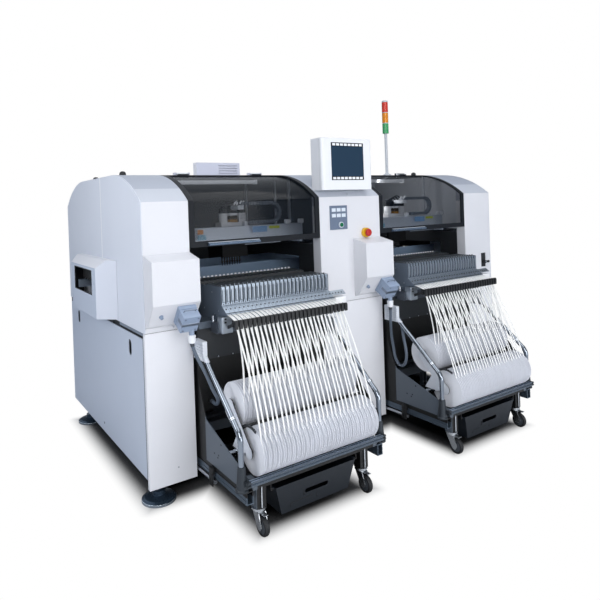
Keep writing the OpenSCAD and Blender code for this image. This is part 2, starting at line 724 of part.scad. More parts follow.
module cart_plug(s) seat() color("#8f9fb4") {
  x = plug_x[s];
  slant_block(x + 2, x + plug_w - 2, 16, 98, socket_h + fit, socket_h + plug_h);
  bar_z(11, gland_low_z, on_slant(90, socket_h + 20)[1], x + gland_in, gland_y);
}

// Side plate of a cart
module cart_side(x_a, x_b)
  plate_yz(x_a, x_b)
    polygon([[-350, cart_rail_z], [-350, cart_rail_z + 80], [-74, cart_rail_z + 174], [-20, 500],
      [-20, table_z - 30], [330, table_z - 30], [330, cart_rail_z]]);

module cart_frame(s) cart(s) color("#3b4046") {
  half = side_u - rail_u;
  mirror_x() {
    // Side rail, an open tube with two grooves in its outer side
    difference() {
      span([half, -400, cart_rail_z - cart_rail_h], [side_u, cart_tail, cart_rail_z]);
      span([half + 4, -401, cart_rail_z - cart_rail_h + 4], [side_u - 4, cart_tail + 1, cart_rail_z - 4]);
      for (z = [cart_rail_z - 17, cart_rail_z - 36])
        span([side_u - 1.5, -401, z], [side_u + 1, cart_tail + 1, z + 4]);
    }
    cart_side(side_u - plate_t, side_u);
  }
  // Feeder table with its front rail, and the panel below it
  span([-side_u, -40, table_z - 30], [side_u, 330, table_z]);
  span([bank_shift - bank_half, -100, table_z - 48], [bank_shift + bank_half, -40, table_z]);
  span([plate_t - side_u, panel_y, 380], [side_u - plate_t, panel_y + 8, table_z - 30]);
  bar_y(14, panel_y - gland_l, panel_y, gland_u[s], gland_z[s]);
  // Cross members
  for (y = [[-395, -345], [-130, -90]]) span([-half, y[0], member_z[0]], [half, y[1], member_z[1]]);
  for (y = [[280, 320], [cart_tail - 40, cart_tail]])
    span([-half, y[0], cart_rail_z - cart_rail_h], [half, y[1], cart_rail_z]);
  span([-60, 400, cart_rail_z - cart_rail_h], [60, bay_d - fit, cart_rail_z]);
  // Blocks that hold the swivel casters
  for (u = [-1, 1] * caster_span / 2)
    difference() {
      translate([caster_u + u - 22, -caster_y - 22, fork_top_z + fit])
        cube([44, 44, member_z[0] - fork_top_z]);
      bar_z(stem_r + fit, fork_top_z - 1, member_z[0] - 10, caster_u + u, -caster_y);
    }
  // Runners of the waste bin
  mirror_bin() {
    span([bin_u + bin_w / 2 + 14, -395, bin_z[1] - 8], [bin_u + bin_w / 2 + 18, -90, member_z[0]]);
    span([bin_u + bin_w / 2 + 4, -395, bin_z[1] - 8], [bin_u + bin_w / 2 + 14, -90, bin_z[1] - 4]);
  }
  // Fixed forks of the rear wheels
  mirror_x()
    for (x = [280 - wheel_w / 2 - 5, 280 + wheel_w / 2 + 1])
      span([x, 286, wheel_d / 2 - 14], [x + 4, 314, cart_rail_z - cart_rail_h]);
  mirror_x() bar_x(6, 280 - wheel_w / 2 - 2, 280 + wheel_w / 2 + 2, 300, wheel_d / 2);
}

// Repeats a part on both sides of the waste bin
module mirror_bin() {
  children();
  translate([2 * bin_u, 0, 0]) mirror([1, 0, 0]) children();
}

// Square bar with a groove along each side, seen from its end
module grooved_square(w, groove)
  difference() {
    square(w, center = true);
    for (a = [0 : 90 : 270]) rotate(a) translate([w / 2 - groove, -groove / 2]) square([groove + 1, groove]);
  }

// Handle tube: a slanted run and an upright run, pushed into an elbow
module handle_tube(x) {
  r = tube_d / 2;
  slope = [tube_top[0] - tube_foot_y, tube_top[1] - tube_bend_z];
  turn = atan2(slope[0], slope[1]);
  cut = bend_r * tan(turn / 2);
  insert = 4;
  bar_z(r, cart_rail_z + 90, tube_bend_z - cut + insert, x, tube_foot_y);
  translate([x, tube_foot_y + bend_r, tube_bend_z - cut]) rotate([90, 0, 90]) rotate([0, 0, 180 - turn])
    rotate_extrude(angle = turn) translate([bend_r, 0]) circle(r + 0.8);
  translate([x, tube_foot_y, tube_bend_z]) rotate([-turn, 0, 0]) translate([0, 0, cut - insert])
    cylinder(r = r, h = norm(slope) - cut + insert);
}

module handle_rails(s) cart(s) color("#c9ced4") {
  for (x = [-tube_u, tube_u]) {
    handle_tube(x);
    // Flared socket on the side rail
    translate([x, tube_foot_y, cart_rail_z + fit]) rotate_extrude()
      polygon([[0, 0], [26, 0], [26, 6], [22, 10], [15, 90], [0, 90]]);
  }
  // Ribbed brackets that hold the upper ends
  mirror_x()
    difference() {
      span([tube_u - 9, tube_top[0] - 6, tube_top[1] - 14], [tube_u + 13, -20 - fit, tube_top[1] + 66]);
      for (i = [0 : rib_n - 1])
        span([tube_u + 9, tube_top[0] - 7, tube_top[1] + 2 + 12 * i],
          [tube_u + 14, panel_y - 6, tube_top[1] + 8 + 12 * i]);
    }
  // Grooved front bar on lugs of the sockets
  plate_yz(2 - tube_u, tube_u - 2) translate(bar_at) grooved_square(bar_w, 5);
  mirror_x() span([tube_u - 11, bar_at[0] - 6, bar_at[1] - 8], [tube_u, tube_foot_y, bar_at[1] + 8]);
}

// Tape feeder, seen from the side
module feeder_outline()
  polygon([[feeder_front + 6, table_z + fit], [250, table_z + fit], [250, table_z + 96], [236, table_z + 120],
    [226, table_z + feeder_h - 6], [210, table_z + feeder_h - 6], [206, table_z + feeder_h + 3],
    [92, table_z + feeder_h + 3],
    [86, table_z + feeder_h - 8], [40, table_z + feeder_h - 8], [34, table_z + feeder_h],
    [feeder_front + 4, table_z + feeder_h], [feeder_front, table_z + feeder_h - 4],
    [feeder_front, table_z + 72], [feeder_lip + 6, lip_z + 8], [feeder_lip, lip_z + 6],
    [feeder_lip, lip_z - 4], [feeder_front + 6, lip_z - 8]]);

// Feeder with the grip of its latch on the front and a knob on top
module feeder() {
  plate_yz(-feeder_pitch / 2 + 0.4, feeder_pitch / 2 - 0.4) feeder_outline();
  plate_yz(-latch_w / 2, latch_w / 2)
    polygon([[feeder_front + 1, table_z + 80], [feeder_front - 5, table_z + 88],
      [feeder_front - 5, table_z + feeder_h - 18], [feeder_front + 1, table_z + feeder_h - 10]]);
  bar_z(latch_w / 2, table_z + feeder_h - 1, table_z + feeder_h + 5, 0, feeder_front + 18);
}

module feeders(s) cart(s) color("#9fb1c6")
  for (i = [0 : feeder_n - 1]) translate([feeder_u(i), 0, 0]) feeder();

// End plate of the reel tray
module tray_end(x_a, x_b)
  plate_yz(x_a, x_b) {
    mid = (front_axis + rear_axis) / 2;
    translate(mid) rotate(row_turn) square([norm(rear_axis - front_axis), 46], center = true);
    for (p = [front_axis, rear_axis]) translate(p) circle(26);
    polygon([mid, front_axis, tray_rods[0] + [-14, -6], tray_rods[1] + [4, -16], tray_rods[1] + [14, 4]]);
    translate(tray_rods[0]) circle(14);
    translate(tray_rods[1]) circle(16);
  }

// Bar with a tooth on each side of each tape, and a guide block on the front of each tooth
module comb(x_m, pitch, y, z, depth, bar_h, tooth_h)
  union() {
    span([x_m - (feeder_n / 2) * pitch - 3, y, z - bar_h], [x_m + (feeder_n / 2) * pitch + 3, y + depth, z]);
    for (i = [0 : feeder_n]) translate([x_m + (i - feeder_n / 2) * pitch, y, z]) {
      span([-1.2, -13, -1], [1.2, depth, tooth_h]);
      plate_yz(-guide_w / 2, guide_w / 2)
        polygon([[-19, -24], [-22, -24], [-25, -20], [-25, 6], [-21, 12], [-12, 12], [-12, -6]]);
    }
  }

module reel_tray(s) cart(s) color("#26292e") {
  tray_end(tray_left - plate_t, tray_left);
  tray_end(tray_right - plate_t, tray_right);
  for (a = [front_axis, rear_axis]) bar_x(axle_r, tray_left - 2, tray_right - plate_t + 2, a[0], a[1]);
  for (a = tray_rods) bar_x(8, plate_t + fit - side_u, side_u - plate_t - fit, a[0], a[1]);
  // Bar between the reel rows, held by the end plates
  plate_yz(tray_left - 2, tray_right - plate_t + 2) translate((front_axis + rear_axis) / 2) rotate(row_turn)
    square([8, 18], center = true);
  // Comb under the feeders on arms from the feeder table
  comb(bank_shift, feeder_pitch, comb_at[0] - 4, comb_at[1] - 8, 14, 18, 10);
  for (x = [-1, 1] * ((feeder_n - 1) / 2 * feeder_pitch))
    plate_yz(bank_shift + x - 3, bank_shift + x + 3)
      polygon([[comb_at[0] + 2, comb_at[1] - 24], [comb_at[0] + 12, comb_at[1] - 24],
        [-100 - fit, table_z - 40], [-100 - fit, table_z - 24], [comb_at[0] + 12, comb_at[1] - 11],
        [comb_at[0] + 2, comb_at[1] - 11]]);
}

// One reel: hub, wound tape and two flanges
module reel()
  rotate([0, 90, 0]) translate([0, 0, -reel_w / 2]) rotate_extrude()
    polygon([[axle_r + fit, 0], [reel_d / 2, 0], [reel_d / 2, 1], [pack_r, 1], [pack_r, reel_w - 1],
      [reel_d / 2, reel_w - 1], [reel_d / 2, reel_w], [axle_r + fit, reel_w]]);

function reel_u(i) = reel_shift + (i - (feeder_n - 1) / 2) * reel_pitch;
function feeder_u(i) = bank_shift + (i - (feeder_n - 1) / 2) * feeder_pitch;

module reel_row(s, axis) cart(s) color("#e9eef7")
  for (i = [0 : feeder_n - 1]) translate([reel_u(i), axis[0], axis[1]]) reel();

// Point where a tape from p meets the front of a circle round c
function tangent_point(p, c, r) =
  let (d = p - c, a = atan2(d[1], d[0]) + acos(r / norm(d))) c + r * [cos(a), sin(a)];

function yz_normal(p, i) =
  let (a = p[max(i - 1, 0)], b = p[min(i + 1, len(p) - 1)], d = [b[1] - a[1], b[2] - a[2]])
    [-d[1], d[0]] / norm(d);

// Flat strip along points, with its width along X
module strip(p, w, t) {
  n = len(p);
  points = [for (i = [0 : n - 1]) let (m = yz_normal(p, i) * t / 2) each [
    p[i] + [-w / 2, -m[0], -m[1]], p[i] + [w / 2, -m[0], -m[1]],
    p[i] + [w / 2, m[0], m[1]], p[i] + [-w / 2, m[0], m[1]]]];
  sides = [for (i = [0 : n - 2], k = [0 : 3])
    [4 * i + k, 4 * i + (k + 1) % 4, 4 * i + 4 + (k + 1) % 4, 4 * i + 4 + k]];
  polyhedron(points, concat([[3, 2, 1, 0]], sides, [[4 * n - 4, 4 * n - 3, 4 * n - 2, 4 * n - 1]]));
}

// Tape from a feeder over the comb to a reel
module tape(u_feeder, u_reel, axis) {
  over = comb_at + [0, 1];
  end = tangent_point(over, axis, pack_r + 1);
  near = end + (over - end) * 90 / norm(over - end);
  strip([[u_feeder, feeder_lip - 0.4, lip_z + 1], [u_feeder, over[0] + 14, over[1] + 3],
    [u_feeder, over[0] - 6, over[1] - 4], [u_reel, near[0], near[1]], [u_reel, end[0], end[1]]],
    tape_w, tape_t);
}

module tapes(s) cart(s) color("#f7f6f2")
  for (i = [0 : feeder_n - 1]) {
    tape(feeder_u(i) - tape_shift, reel_u(i), front_axis);
    tape(feeder_u(i) + tape_shift, reel_u(i), rear_axis);
  }

// Tapered form of the bin, inset by t
module bin_form(t, top)
  intersection() {
    plate_xz(bin_front_y + t, bin_front_y + bin_d - t)
      polygon([[bin_u - bin_w / 2 + t, top], [bin_u - bin_w / 2 + bin_taper + t, bin_z[0] + t],
        [bin_u + bin_w / 2 - bin_taper - t, bin_z[0] + t], [bin_u + bin_w / 2 - t, top]]);
    plate_yz(bin_u - bin_w, bin_u + bin_w)
      polygon([[bin_front_y + t, top], [bin_front_y + 14 + t, bin_z[0] + t],
        [bin_front_y + bin_d - 14 - t, bin_z[0] + t], [bin_front_y + bin_d - t, top]]);
  }

module waste_bin(s) cart(s) color("#50555c") {
  difference() {
    union() {
      bin_form(0, bin_z[1]);
      // Rim that slides on the runners
      span([bin_u - bin_w / 2 - 12, bin_front_y + 12, bin_z[1] - 4 + fit],
        [bin_u + bin_w / 2 + 12, bin_front_y + bin_d, bin_z[1]]);
    }
    bin_form(wall_t, bin_z[1] + 1);
    // Slot of the handle
    translate([bin_u - 50, bin_front_y - 1, bin_z[1] - 66]) cube([100, 30, 18]);
    bar_y(9, bin_front_y - 1, bin_front_y + 30, bin_u - 50, bin_z[1] - 57);
    bar_y(9, bin_front_y - 1, bin_front_y + 30, bin_u + 50, bin_z[1] - 57);
  }
}

module caster_fork(s, side)
  cart(s) color("#c2c7cc") translate([caster_u + side * caster_span / 2, -caster_y, 0]) {
  top = fork_top_z;
  bar_z(28, top - 8, top, 0, 0);
  bar_z(stem_r, top - 1, member_z[0] - 12, 0, 0);
  bar_z(20, top - 15, top - 8, 0, 0);
  for (x = [-wheel_w / 2 - 5, wheel_w / 2 + 2])
    plate_yz(x, x + 3) polygon([[-24, top - 15], [18, top - 15], [14, top - 24],
      [12 - caster_trail, wheel_d / 2 - 10], [4 - caster_trail, wheel_d / 2 - 14],
      [-4 - caster_trail, wheel_d / 2 - 14], [-14 - caster_trail, wheel_d / 2 + 2]]);
  span([-wheel_w / 2 - 5, -24, top - 17], [wheel_w / 2 + 5, 18, top - 14]);
  bar_x(6, -wheel_w / 2 - 5, wheel_w / 2 + 5, -caster_trail, wheel_d / 2);
  // Brake lever
  span([-9, -52, top - 17], [9, -24, top - 14]);
}

// Wheel with a rubber tyre on a hub
module wheel(x, y)
  translate([x - wheel_w / 2, y, wheel_d / 2]) rotate([0, 90, 0]) rotate_extrude()
    polygon([[6 + fit, 0], [14, 0], [14, 3], [wheel_d / 2 - 10, 4], [wheel_d / 2 - 9, 1],
      [wheel_d / 2 - 3, 2], [wheel_d / 2, 7], [wheel_d / 2, wheel_w - 7], [wheel_d / 2 - 3, wheel_w - 2],
      [wheel_d / 2 - 9, wheel_w - 1], [wheel_d / 2 - 10, wheel_w - 4], [14, wheel_w - 3], [14, wheel_w],
      [6 + fit, wheel_w]]);

module caster_wheel(s, side) cart(s) color("#24262a")
  wheel(caster_u + side * caster_span / 2, -caster_y - caster_trail);

module rear_wheels(s) cart(s) color("#24262a") {
  wheel(-280, 300);
  wheel(280, 300);
}

// Round tube along points
module tube_along(p, r, sides) {
  n = len(p);
  rings = [for (i = [0 : n - 1])
    let (d = p[min(i + 1, n - 1)] - p[max(i - 1, 0)], f = d / norm(d),
      a = cross(f, [1, 0.2, 0]) / norm(cross(f, [1, 0.2, 0])), b = cross(f, a))
    each [for (k = [0 : sides - 1]) p[i] + r * (a * cos(360 * k / sides) + b * sin(360 * k / sides))]];
  walls = [for (i = [0 : n - 2], k = [0 : sides - 1])
    let (a = sides * i + k, b = sides * i + (k + 1) % sides)
    each [[a, a + sides, b], [b, a + sides, b + sides]]];
  polyhedron(rings, concat([[for (k = [0 : sides - 1]) k]], walls,
    [[for (k = [sides - 1 : -1 : 0]) sides * (n - 1) + k]]));
}

// Path moved and stretched so that it runs from a to b
function run_between(path, a, b) =
  let (n = len(path) - 1, extra = b - a - path[n]) [for (i = [0 : n]) a + path[i] + extra * i / n];

module cart_cable(s, path) seat() color("#5f6b7b")
  tube_along(run_between(path, [plug_x[s] + gland_in, gland_y, gland_low_z - fit],
    [cart_x[s] + gland_u[s], panel_y - gland_l - fit, gland_z[s]]), cable_r, 10);

base_frame();
levelling_feet();
lower_side_panels();
upper_side_covers();
conveyor_hoods();
lower_column_covers();
upper_column_covers();
roof_cover();
eyebolt_caps();
rear_panels();
front_cover_frame(0);  // front_cover_frame_l
front_cover_frame(1);  // front_cover_frame_r
front_cover_window(0);  // front_cover_window_l
front_cover_window(1);  // front_cover_window_r
conveyor_fixed_rails();
conveyor_moving_rail();
gantry_rails();
beam(0);  // beam_l
beam(1);  // beam_r
head(0);  // head_l
head(1);  // head_r
nozzles(0);  // nozzles_l
nozzles(1);  // nozzles_r
monitor_housing();
monitor_screen();
control_panel();
start_button();
estop_button();
signal_tower();
cart_sockets();
cart_frame(0);  // cart_frame_l
handle_rails(0);  // handle_rails_l
feeders(0);  // feeders_l
reel_tray(0);  // reel_tray_l
reel_row(0, front_axis);  // front_reels_l
reel_row(0, rear_axis);  // rear_reels_l
tapes(0);  // tapes_l
waste_bin(0);  // waste_bin_l
caster_fork(0, -1);  // caster_fork_ll
caster_fork(0, 1);  // caster_fork_lr
caster_wheel(0, -1);  // caster_wheel_ll
caster_wheel(0, 1);  // caster_wheel_lr
rear_wheels(0);  // rear_wheels_l
cart_cable(0, left_path);  // cable_l
cart_plug(0);  // plug_l
cart_frame(1);  // cart_frame_r
handle_rails(1);  // handle_rails_r
feeders(1);  // feeders_r
reel_tray(1);  // reel_tray_r
reel_row(1, front_axis);  // front_reels_r
reel_row(1, rear_axis);  // rear_reels_r
tapes(1);  // tapes_r
waste_bin(1);  // waste_bin_r
caster_fork(1, -1);  // caster_fork_rl
caster_fork(1, 1);  // caster_fork_rr
caster_wheel(1, -1);  // caster_wheel_rl
caster_wheel(1, 1);  // caster_wheel_rr
rear_wheels(1);  // rear_wheels_r
cart_cable(1, right_path);  // cable_r
cart_plug(1);  // plug_r
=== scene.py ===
"""Looks of a modular pick and place machine with a feeder cart docked in each of its two bays."""

import math

import bmesh
import bpy
from bpy.props import FloatProperty, FloatVectorProperty, IntProperty, PointerProperty
from mathutils import Matrix, Vector


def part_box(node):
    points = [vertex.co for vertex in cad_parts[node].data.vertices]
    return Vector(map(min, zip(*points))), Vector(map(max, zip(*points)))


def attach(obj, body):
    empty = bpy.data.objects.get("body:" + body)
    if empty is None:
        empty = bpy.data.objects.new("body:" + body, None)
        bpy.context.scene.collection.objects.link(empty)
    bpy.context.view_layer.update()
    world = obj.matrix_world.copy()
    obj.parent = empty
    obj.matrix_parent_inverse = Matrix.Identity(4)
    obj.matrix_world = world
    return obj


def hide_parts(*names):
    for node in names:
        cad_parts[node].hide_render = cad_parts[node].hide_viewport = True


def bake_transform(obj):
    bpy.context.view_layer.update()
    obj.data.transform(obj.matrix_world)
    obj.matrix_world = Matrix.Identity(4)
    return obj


bl_info = {
    "name": "Pick and place machine",
    "version": (1, 0, 0),
    "blender": (4, 5, 0),
    "location": "View3D > Sidebar > Machine",
    "description": "Builds the finishes and small pieces of a pick and place machine",
    "category": "Object",
}

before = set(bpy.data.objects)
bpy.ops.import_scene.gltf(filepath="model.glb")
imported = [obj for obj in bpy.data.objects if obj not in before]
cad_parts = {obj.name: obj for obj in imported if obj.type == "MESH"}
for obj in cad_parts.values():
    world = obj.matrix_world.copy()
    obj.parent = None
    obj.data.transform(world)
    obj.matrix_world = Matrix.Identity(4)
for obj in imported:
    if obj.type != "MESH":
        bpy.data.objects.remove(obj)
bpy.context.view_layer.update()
SIDES = ("l", "r")
# Depth of the column fronts, and the middle of each cart
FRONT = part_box("lower_column_covers")[0].y
CART_X = {s: sum(v.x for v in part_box(f"cart_frame_{s}")) / 2 for s in SIDES}
# Top of the feeder table, and how far the feeders and the reels lie from the middle of a cart, in mm
TABLE_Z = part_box("feeders_l")[0].z * 1000
BANK_SHIFT, REEL_SHIFT = 20, -5
# A length that no side of the machine reaches, for zones that are open there
FAR = 2.0
LEFT, RIGHT, FORWARD, UP, DOWN = (-1, 0, 0), (1, 0, 0), (0, -1, 0), (0, 0, 1), (0, 0, -1)


def at(x, y, z):
    """Point of the frame from mm: right of the middle, behind the column fronts, above the floor."""
    return Vector((x / 1000, FRONT + y / 1000, z / 1000))


def on_cart(side, u, y, z):
    """Point of a cart from mm: right of its middle, behind the column fronts, above the floor."""
    return at(CART_X[side] * 1000 + u, y, z)


def on_table(side, u, y, z):
    """Point of a cart from mm, with its height from the top of the feeder table."""
    return on_cart(side, u, y, TABLE_Z + z)


def on_circle(centre, radius, angle):
    """Point of a circle, from the depth and height of its centre."""
    return centre[0] + radius * math.cos(angle), centre[1] + radius * math.sin(angle)


def middle(node):
    """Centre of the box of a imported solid."""
    low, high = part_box(node)
    return (low + high) / 2


def hex_colour(code):
    """Linear colour of an sRGB hex value."""
    parts = [int(code[i:i + 2], 16) / 255 for i in (1, 3, 5)]
    return tuple(c / 12.92 if c <= 0.04045 else ((c + 0.055) / 1.055) ** 2.4 for c in parts)


def colour_property(label, words, code):
    return FloatVectorProperty(name=label, description=words, subtype="COLOR", size=3, min=0, max=1,
                               default=hex_colour(code))


class MachineColours(bpy.types.PropertyGroup):
    """Colours of the paint, plastic and metal."""
    cover: colour_property("Covers", "Powder coat of the front covers and hoods", "#e9eaee")
    column: colour_property("Columns", "Powder coat of the upper column covers", "#e0e1e5")
    # Painted shade: the sides are a little darker and bluer than the covers' white
    side: colour_property("Sides", "Powder coat of the side panels", "#dde2eb")
    # Painted shade: the inner faces of the covers take this dark colour in place of their pale paint
    inside: colour_property("Inside", "Paint of the inner faces of the covers", "#3a4047")
    casting: colour_property("Casting", "Paint of the base and the uprights", "#1b1e22")
    black: colour_property("Black frames", "Paint of the window frames and brackets", "#14181e")
    window: colour_property("Windows", "Smoked plastic of the front covers", "#131a22")
    guard: colour_property("Guards", "Paint of the guards beside the board path", "#8ba3be")
    screen: colour_property("Screen", "Face of the display", "#22384c")
    feeder: colour_property("Feeders", "Anodised fronts of the tape feeders", "#949fab")
    cart: colour_property("Cart", "Paint of the cart plates", "#5a636d")
    reel: colour_property("Reels", "Moulded flanges of the reels", "#f8faff")
    tape: colour_property("Tapes", "Paper of the component tapes", "#fbfbf8")
    waste_bin: colour_property("Waste bins", "Moulded plastic of the bins", "#141b23")
    connector: colour_property("Connectors", "Painted castings of plugs and sockets", "#95a5bc")
    cable: colour_property("Cables", "Sheath of the cart cables", "#5b6674")


class MachineSizes(bpy.types.PropertyGroup):
    """Sizes of the small pieces."""
    tape_n: IntProperty(name="Tapes in a row", description="Feeders on each cart", default=27,
                        min=1, max=27)
    feeder_pitch: FloatProperty(name="Feeder spacing", description="Distance from feeder to feeder",
                                default=0.0218, unit="LENGTH")
    reel_pitch: FloatProperty(name="Reel spacing", description="Distance from reel to reel",
                              default=0.022, unit="LENGTH")
    tape_w: FloatProperty(name="Tape width", description="Width of the component tapes", default=0.008,
                          unit="LENGTH")
    cable_d: FloatProperty(name="Cable diameter", description="Outside of the cart cables", default=0.015,
                           unit="LENGTH")
    link_l: FloatProperty(name="Chain link", description="Length of one link of the drag chains",
                          default=0.018, unit="LENGTH")


def add(tree, kind, inputs=None, **settings):
    """Adds a shader node: settings are its properties, inputs are sockets to link or values to set."""
    made = tree.nodes.new(kind)
    for key, value in settings.items():
        setattr(made, key, value)
    for key, value in (inputs or {}).items():
        if isinstance(value, bpy.types.NodeSocket):
            tree.links.new(value, made.inputs[key])
        else:
            made.inputs[key].default_value = value
    return made


def rgba(colour):
    """Colour with alpha, from an sRGB hex value or a linear colour."""
    parts = hex_colour(colour) if isinstance(colour, str) else tuple(colour)[:3]
    return (*parts, 1.0)


def blank(data, name):
    """New material or world with an empty node tree, and the tree."""
    made = data.new(name)
    made.use_nodes = True
    made.node_tree.nodes.clear()
    return made, made.node_tree


def calc(tree, operation, *values, **settings):
    """Output of a math node."""
    return add(tree, "ShaderNodeMath", dict(enumerate(values)), operation=operation, **settings).outputs[0]


def vector_calc(tree, operation, *values):
    """Output of a vector math node: a number for a dot product or a length, otherwise a vector."""
    made = add(tree, "ShaderNodeVectorMath", dict(enumerate(values)), operation=operation)
    return made.outputs["Value" if operation in ("DOT_PRODUCT", "LENGTH") else "Vector"]


def split(tree, vector):
    """Outputs with the three parts of a vector."""
    return add(tree, "ShaderNodeSeparateXYZ", {0: vector}).outputs


def rescale(tree, value, before, after, **settings):
    """Output of a map range node between two ranges."""
    return add(tree, "ShaderNodeMapRange", dict(enumerate((value, *before, *after))), **settings).outputs[0]


def mix(tree, share, first, second):
    """Output of a mix of two numbers."""
    return add(tree, "ShaderNodeMix", {0: share, 2: first, 3: second}).outputs[0]


def mix_colours(tree, share, first, second, **settings):
    """Output of a mix of two colours."""
    inputs = {0: share, 6: first, 7: second}
    return add(tree, "ShaderNodeMix", inputs, data_type="RGBA", **settings).outputs[2]


def noise(tree, coord, scale, detail):
    """Output of a noise texture."""
    return add(tree, "ShaderNodeTexNoise", {"Vector": coord, "Scale": scale, "Detail": detail}).outputs[0]


def box_distance(tree, coord, low, high):
    """Vector of the distances past the sides of a box, negative inside."""
    centre = [(a + b) / 2 for a, b in zip(low, high)]
    half = [(b - a) / 2 for a, b in zip(low, high)]
    away = vector_calc(tree, "SUBTRACT", coord, centre)
    return vector_calc(tree, "SUBTRACT", vector_calc(tree, "ABSOLUTE", away), half)


def region(x=(-FAR, FAR), y=(-FAR, FAR), z=(-FAR, FAR)):
    """Zone of a finish: inside a box of the part's frame, open along the axes that aren't given."""
    low, high = zip(x, y, z)

    def mask(tree, coord):
        x_past, y_past, z_past = split(tree, box_distance(tree, coord, low, high))
        most = calc(tree, "MAXIMUM", calc(tree, "MAXIMUM", x_past, y_past), z_past)
        return calc(tree, "LESS_THAN", most, 0.0)
    return mask


def round_axis(axis, centre, radius):
    """Zone of a finish: within a radius of a line along one axis."""
    keep = [0.0 if i == axis else 1.0 for i in range(3)]

    def mask(tree, coord):
        flat = vector_calc(tree, "MULTIPLY", vector_calc(tree, "SUBTRACT", coord, centre), keep)
        return calc(tree, "LESS_THAN", vector_calc(tree, "LENGTH", flat), radius)
    return mask


def facing(direction, least=0.7):
    """Zone of a finish: faces that point along a direction."""
    def mask(tree, coord):
        normal = add(tree, "ShaderNodeNewGeometry").outputs["True Normal"]
        return calc(tree, "GREATER_THAN", vector_calc(tree, "DOT_PRODUCT", normal, direction), least)
    return mask


def stripes(axis, start, pitch, share):
    """Zone of a finish: stripes across an axis, about each multiple of a pitch."""
    def mask(tree, coord):
        turns = calc(tree, "MULTIPLY_ADD", split(tree, coord)[axis], 1 / pitch, 0.5 - start / pitch)
        return calc(tree, "COMPARE", calc(tree, "WRAP", turns, 0.0, 1.0), 0.5, share / 2)
    return mask


def both(first, second):
    """Zone of a finish: where two zones meet."""
    def mask(tree, coord):
        return calc(tree, "MULTIPLY", first(tree, coord), second(tree, coord))
    return mask


def finish(name, colour, rough, metal=0.0, mottle=0.04, grain_mm=2.0, grain_depth_mm=0.03,
           brushed=(1, 1, 1), edge_mm=0.0, zones=(), specular=0.5, alpha=1.0):
    """A finish from a base coat and zones of other coats: (zone, colour, roughness, metallic) each."""
    material, tree = blank(bpy.data.materials, name)
    coord = add(tree, "ShaderNodeTexCoord").outputs["Object"]
    stretch = add(tree, "ShaderNodeMapping", {0: coord, "Scale": brushed}).outputs[0]
    fine = noise(tree, stretch, 1000 / grain_mm, 3.0)
    broad = noise(tree, coord, 6.0, 2.0)
    tone = rescale(tree, calc(tree, "ADD", fine, broad), (0.6, 1.4), (1 - mottle, 1.0))
    colour_now, rough_now, metal_now = rgba(colour), rough, metal
    for zone, zone_colour, zone_rough, zone_metal in zones:
        mask = zone(tree, coord)
        colour_now = mix_colours(tree, mask, colour_now, rgba(zone_colour))
        rough_now = mix(tree, mask, rough_now, zone_rough)
        metal_now = mix(tree, mask, metal_now, zone_metal)
    colour_now = mix_colours(tree, 1.0, colour_now, tone, blend_type="MULTIPLY")
    worn = rescale(tree, fine, (0.3, 0.7), (-0.05, 0.05))
    rough_now = calc(tree, "ADD", worn, rough_now, use_clamp=True)
    bump = {"Height": fine, "Strength": 0.4, "Distance": grain_depth_mm / 1000}
    if edge_mm:
        bump["Normal"] = add(tree, "ShaderNodeBevel", {"Radius": edge_mm / 1000}, samples=4).outputs[0]
    normal = add(tree, "ShaderNodeBump", bump).outputs[0]
    shader = add(tree, "ShaderNodeBsdfPrincipled", {
        "Base Color": colour_now, "Roughness": rough_now, "Metallic": metal_now, "Normal": normal,
        "Specular IOR Level": specular, "Alpha": alpha})
    add(tree, "ShaderNodeOutputMaterial", {"Surface": shader.outputs[0]})
    return material


def paint(material, *nodes):
    """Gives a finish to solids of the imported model."""
    for name in nodes:
        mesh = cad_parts[name].data
        mesh.materials.clear()
        mesh.materials.append(material)


def block(bm, low, high, bevel=0.0, segments=2):
    """Box between two corners, with rounded edges; returns its corners."""
    low, high = Vector(low), Vector(high)
    made = bmesh.ops.create_cube(bm, size=1.0)["verts"]
    bmesh.ops.scale(bm, vec=high - low, verts=made)
    bmesh.ops.translate(bm, vec=(low + high) / 2, verts=made)
    if bevel:
        edges = list({e for v in made for e in v.link_edges})
        made = bmesh.ops.bevel(bm, geom=edges, offset=bevel, offset_type="OFFSET", segments=segments,
                               profile=0.5, affect="EDGES", material=-1)["verts"]
    return made


def rod(bm, a, b, radius, radius_end=None, segments=20):
    """Round bar or cone between two points."""
    a, b = Vector(a), Vector(b)
    end = radius if radius_end is None else radius_end
    made = bmesh.ops.create_cone(bm, cap_ends=True, segments=segments, radius1=radius, radius2=end,
                                 depth=(b - a).length)["verts"]
    turn = (b - a).to_track_quat("Z", "Y").to_matrix().to_4x4()
    bmesh.ops.transform(bm, matrix=Matrix.Translation((a + b) / 2) @ turn, verts=made)


def mount(name, data, body):
    """Makes an object of a mesh or curve and lets it ride on a body."""
    made = bpy.data.objects.new(name, data)
    bpy.context.scene.collection.objects.link(made)
    if body:
        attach(made, body)
    return made


def piece(name, bm, material, body, smooth=35):
    """Makes a piece of a bmesh, smooth up to an angle in degrees."""
    mesh = bpy.data.meshes.new(name)
    bm.to_mesh(mesh)
    bm.free()
    mesh.materials.append(material)
    mesh.shade_smooth()
    mesh.set_sharp_from_angle(angle=math.radians(smooth))
    return mount(name, mesh, body)


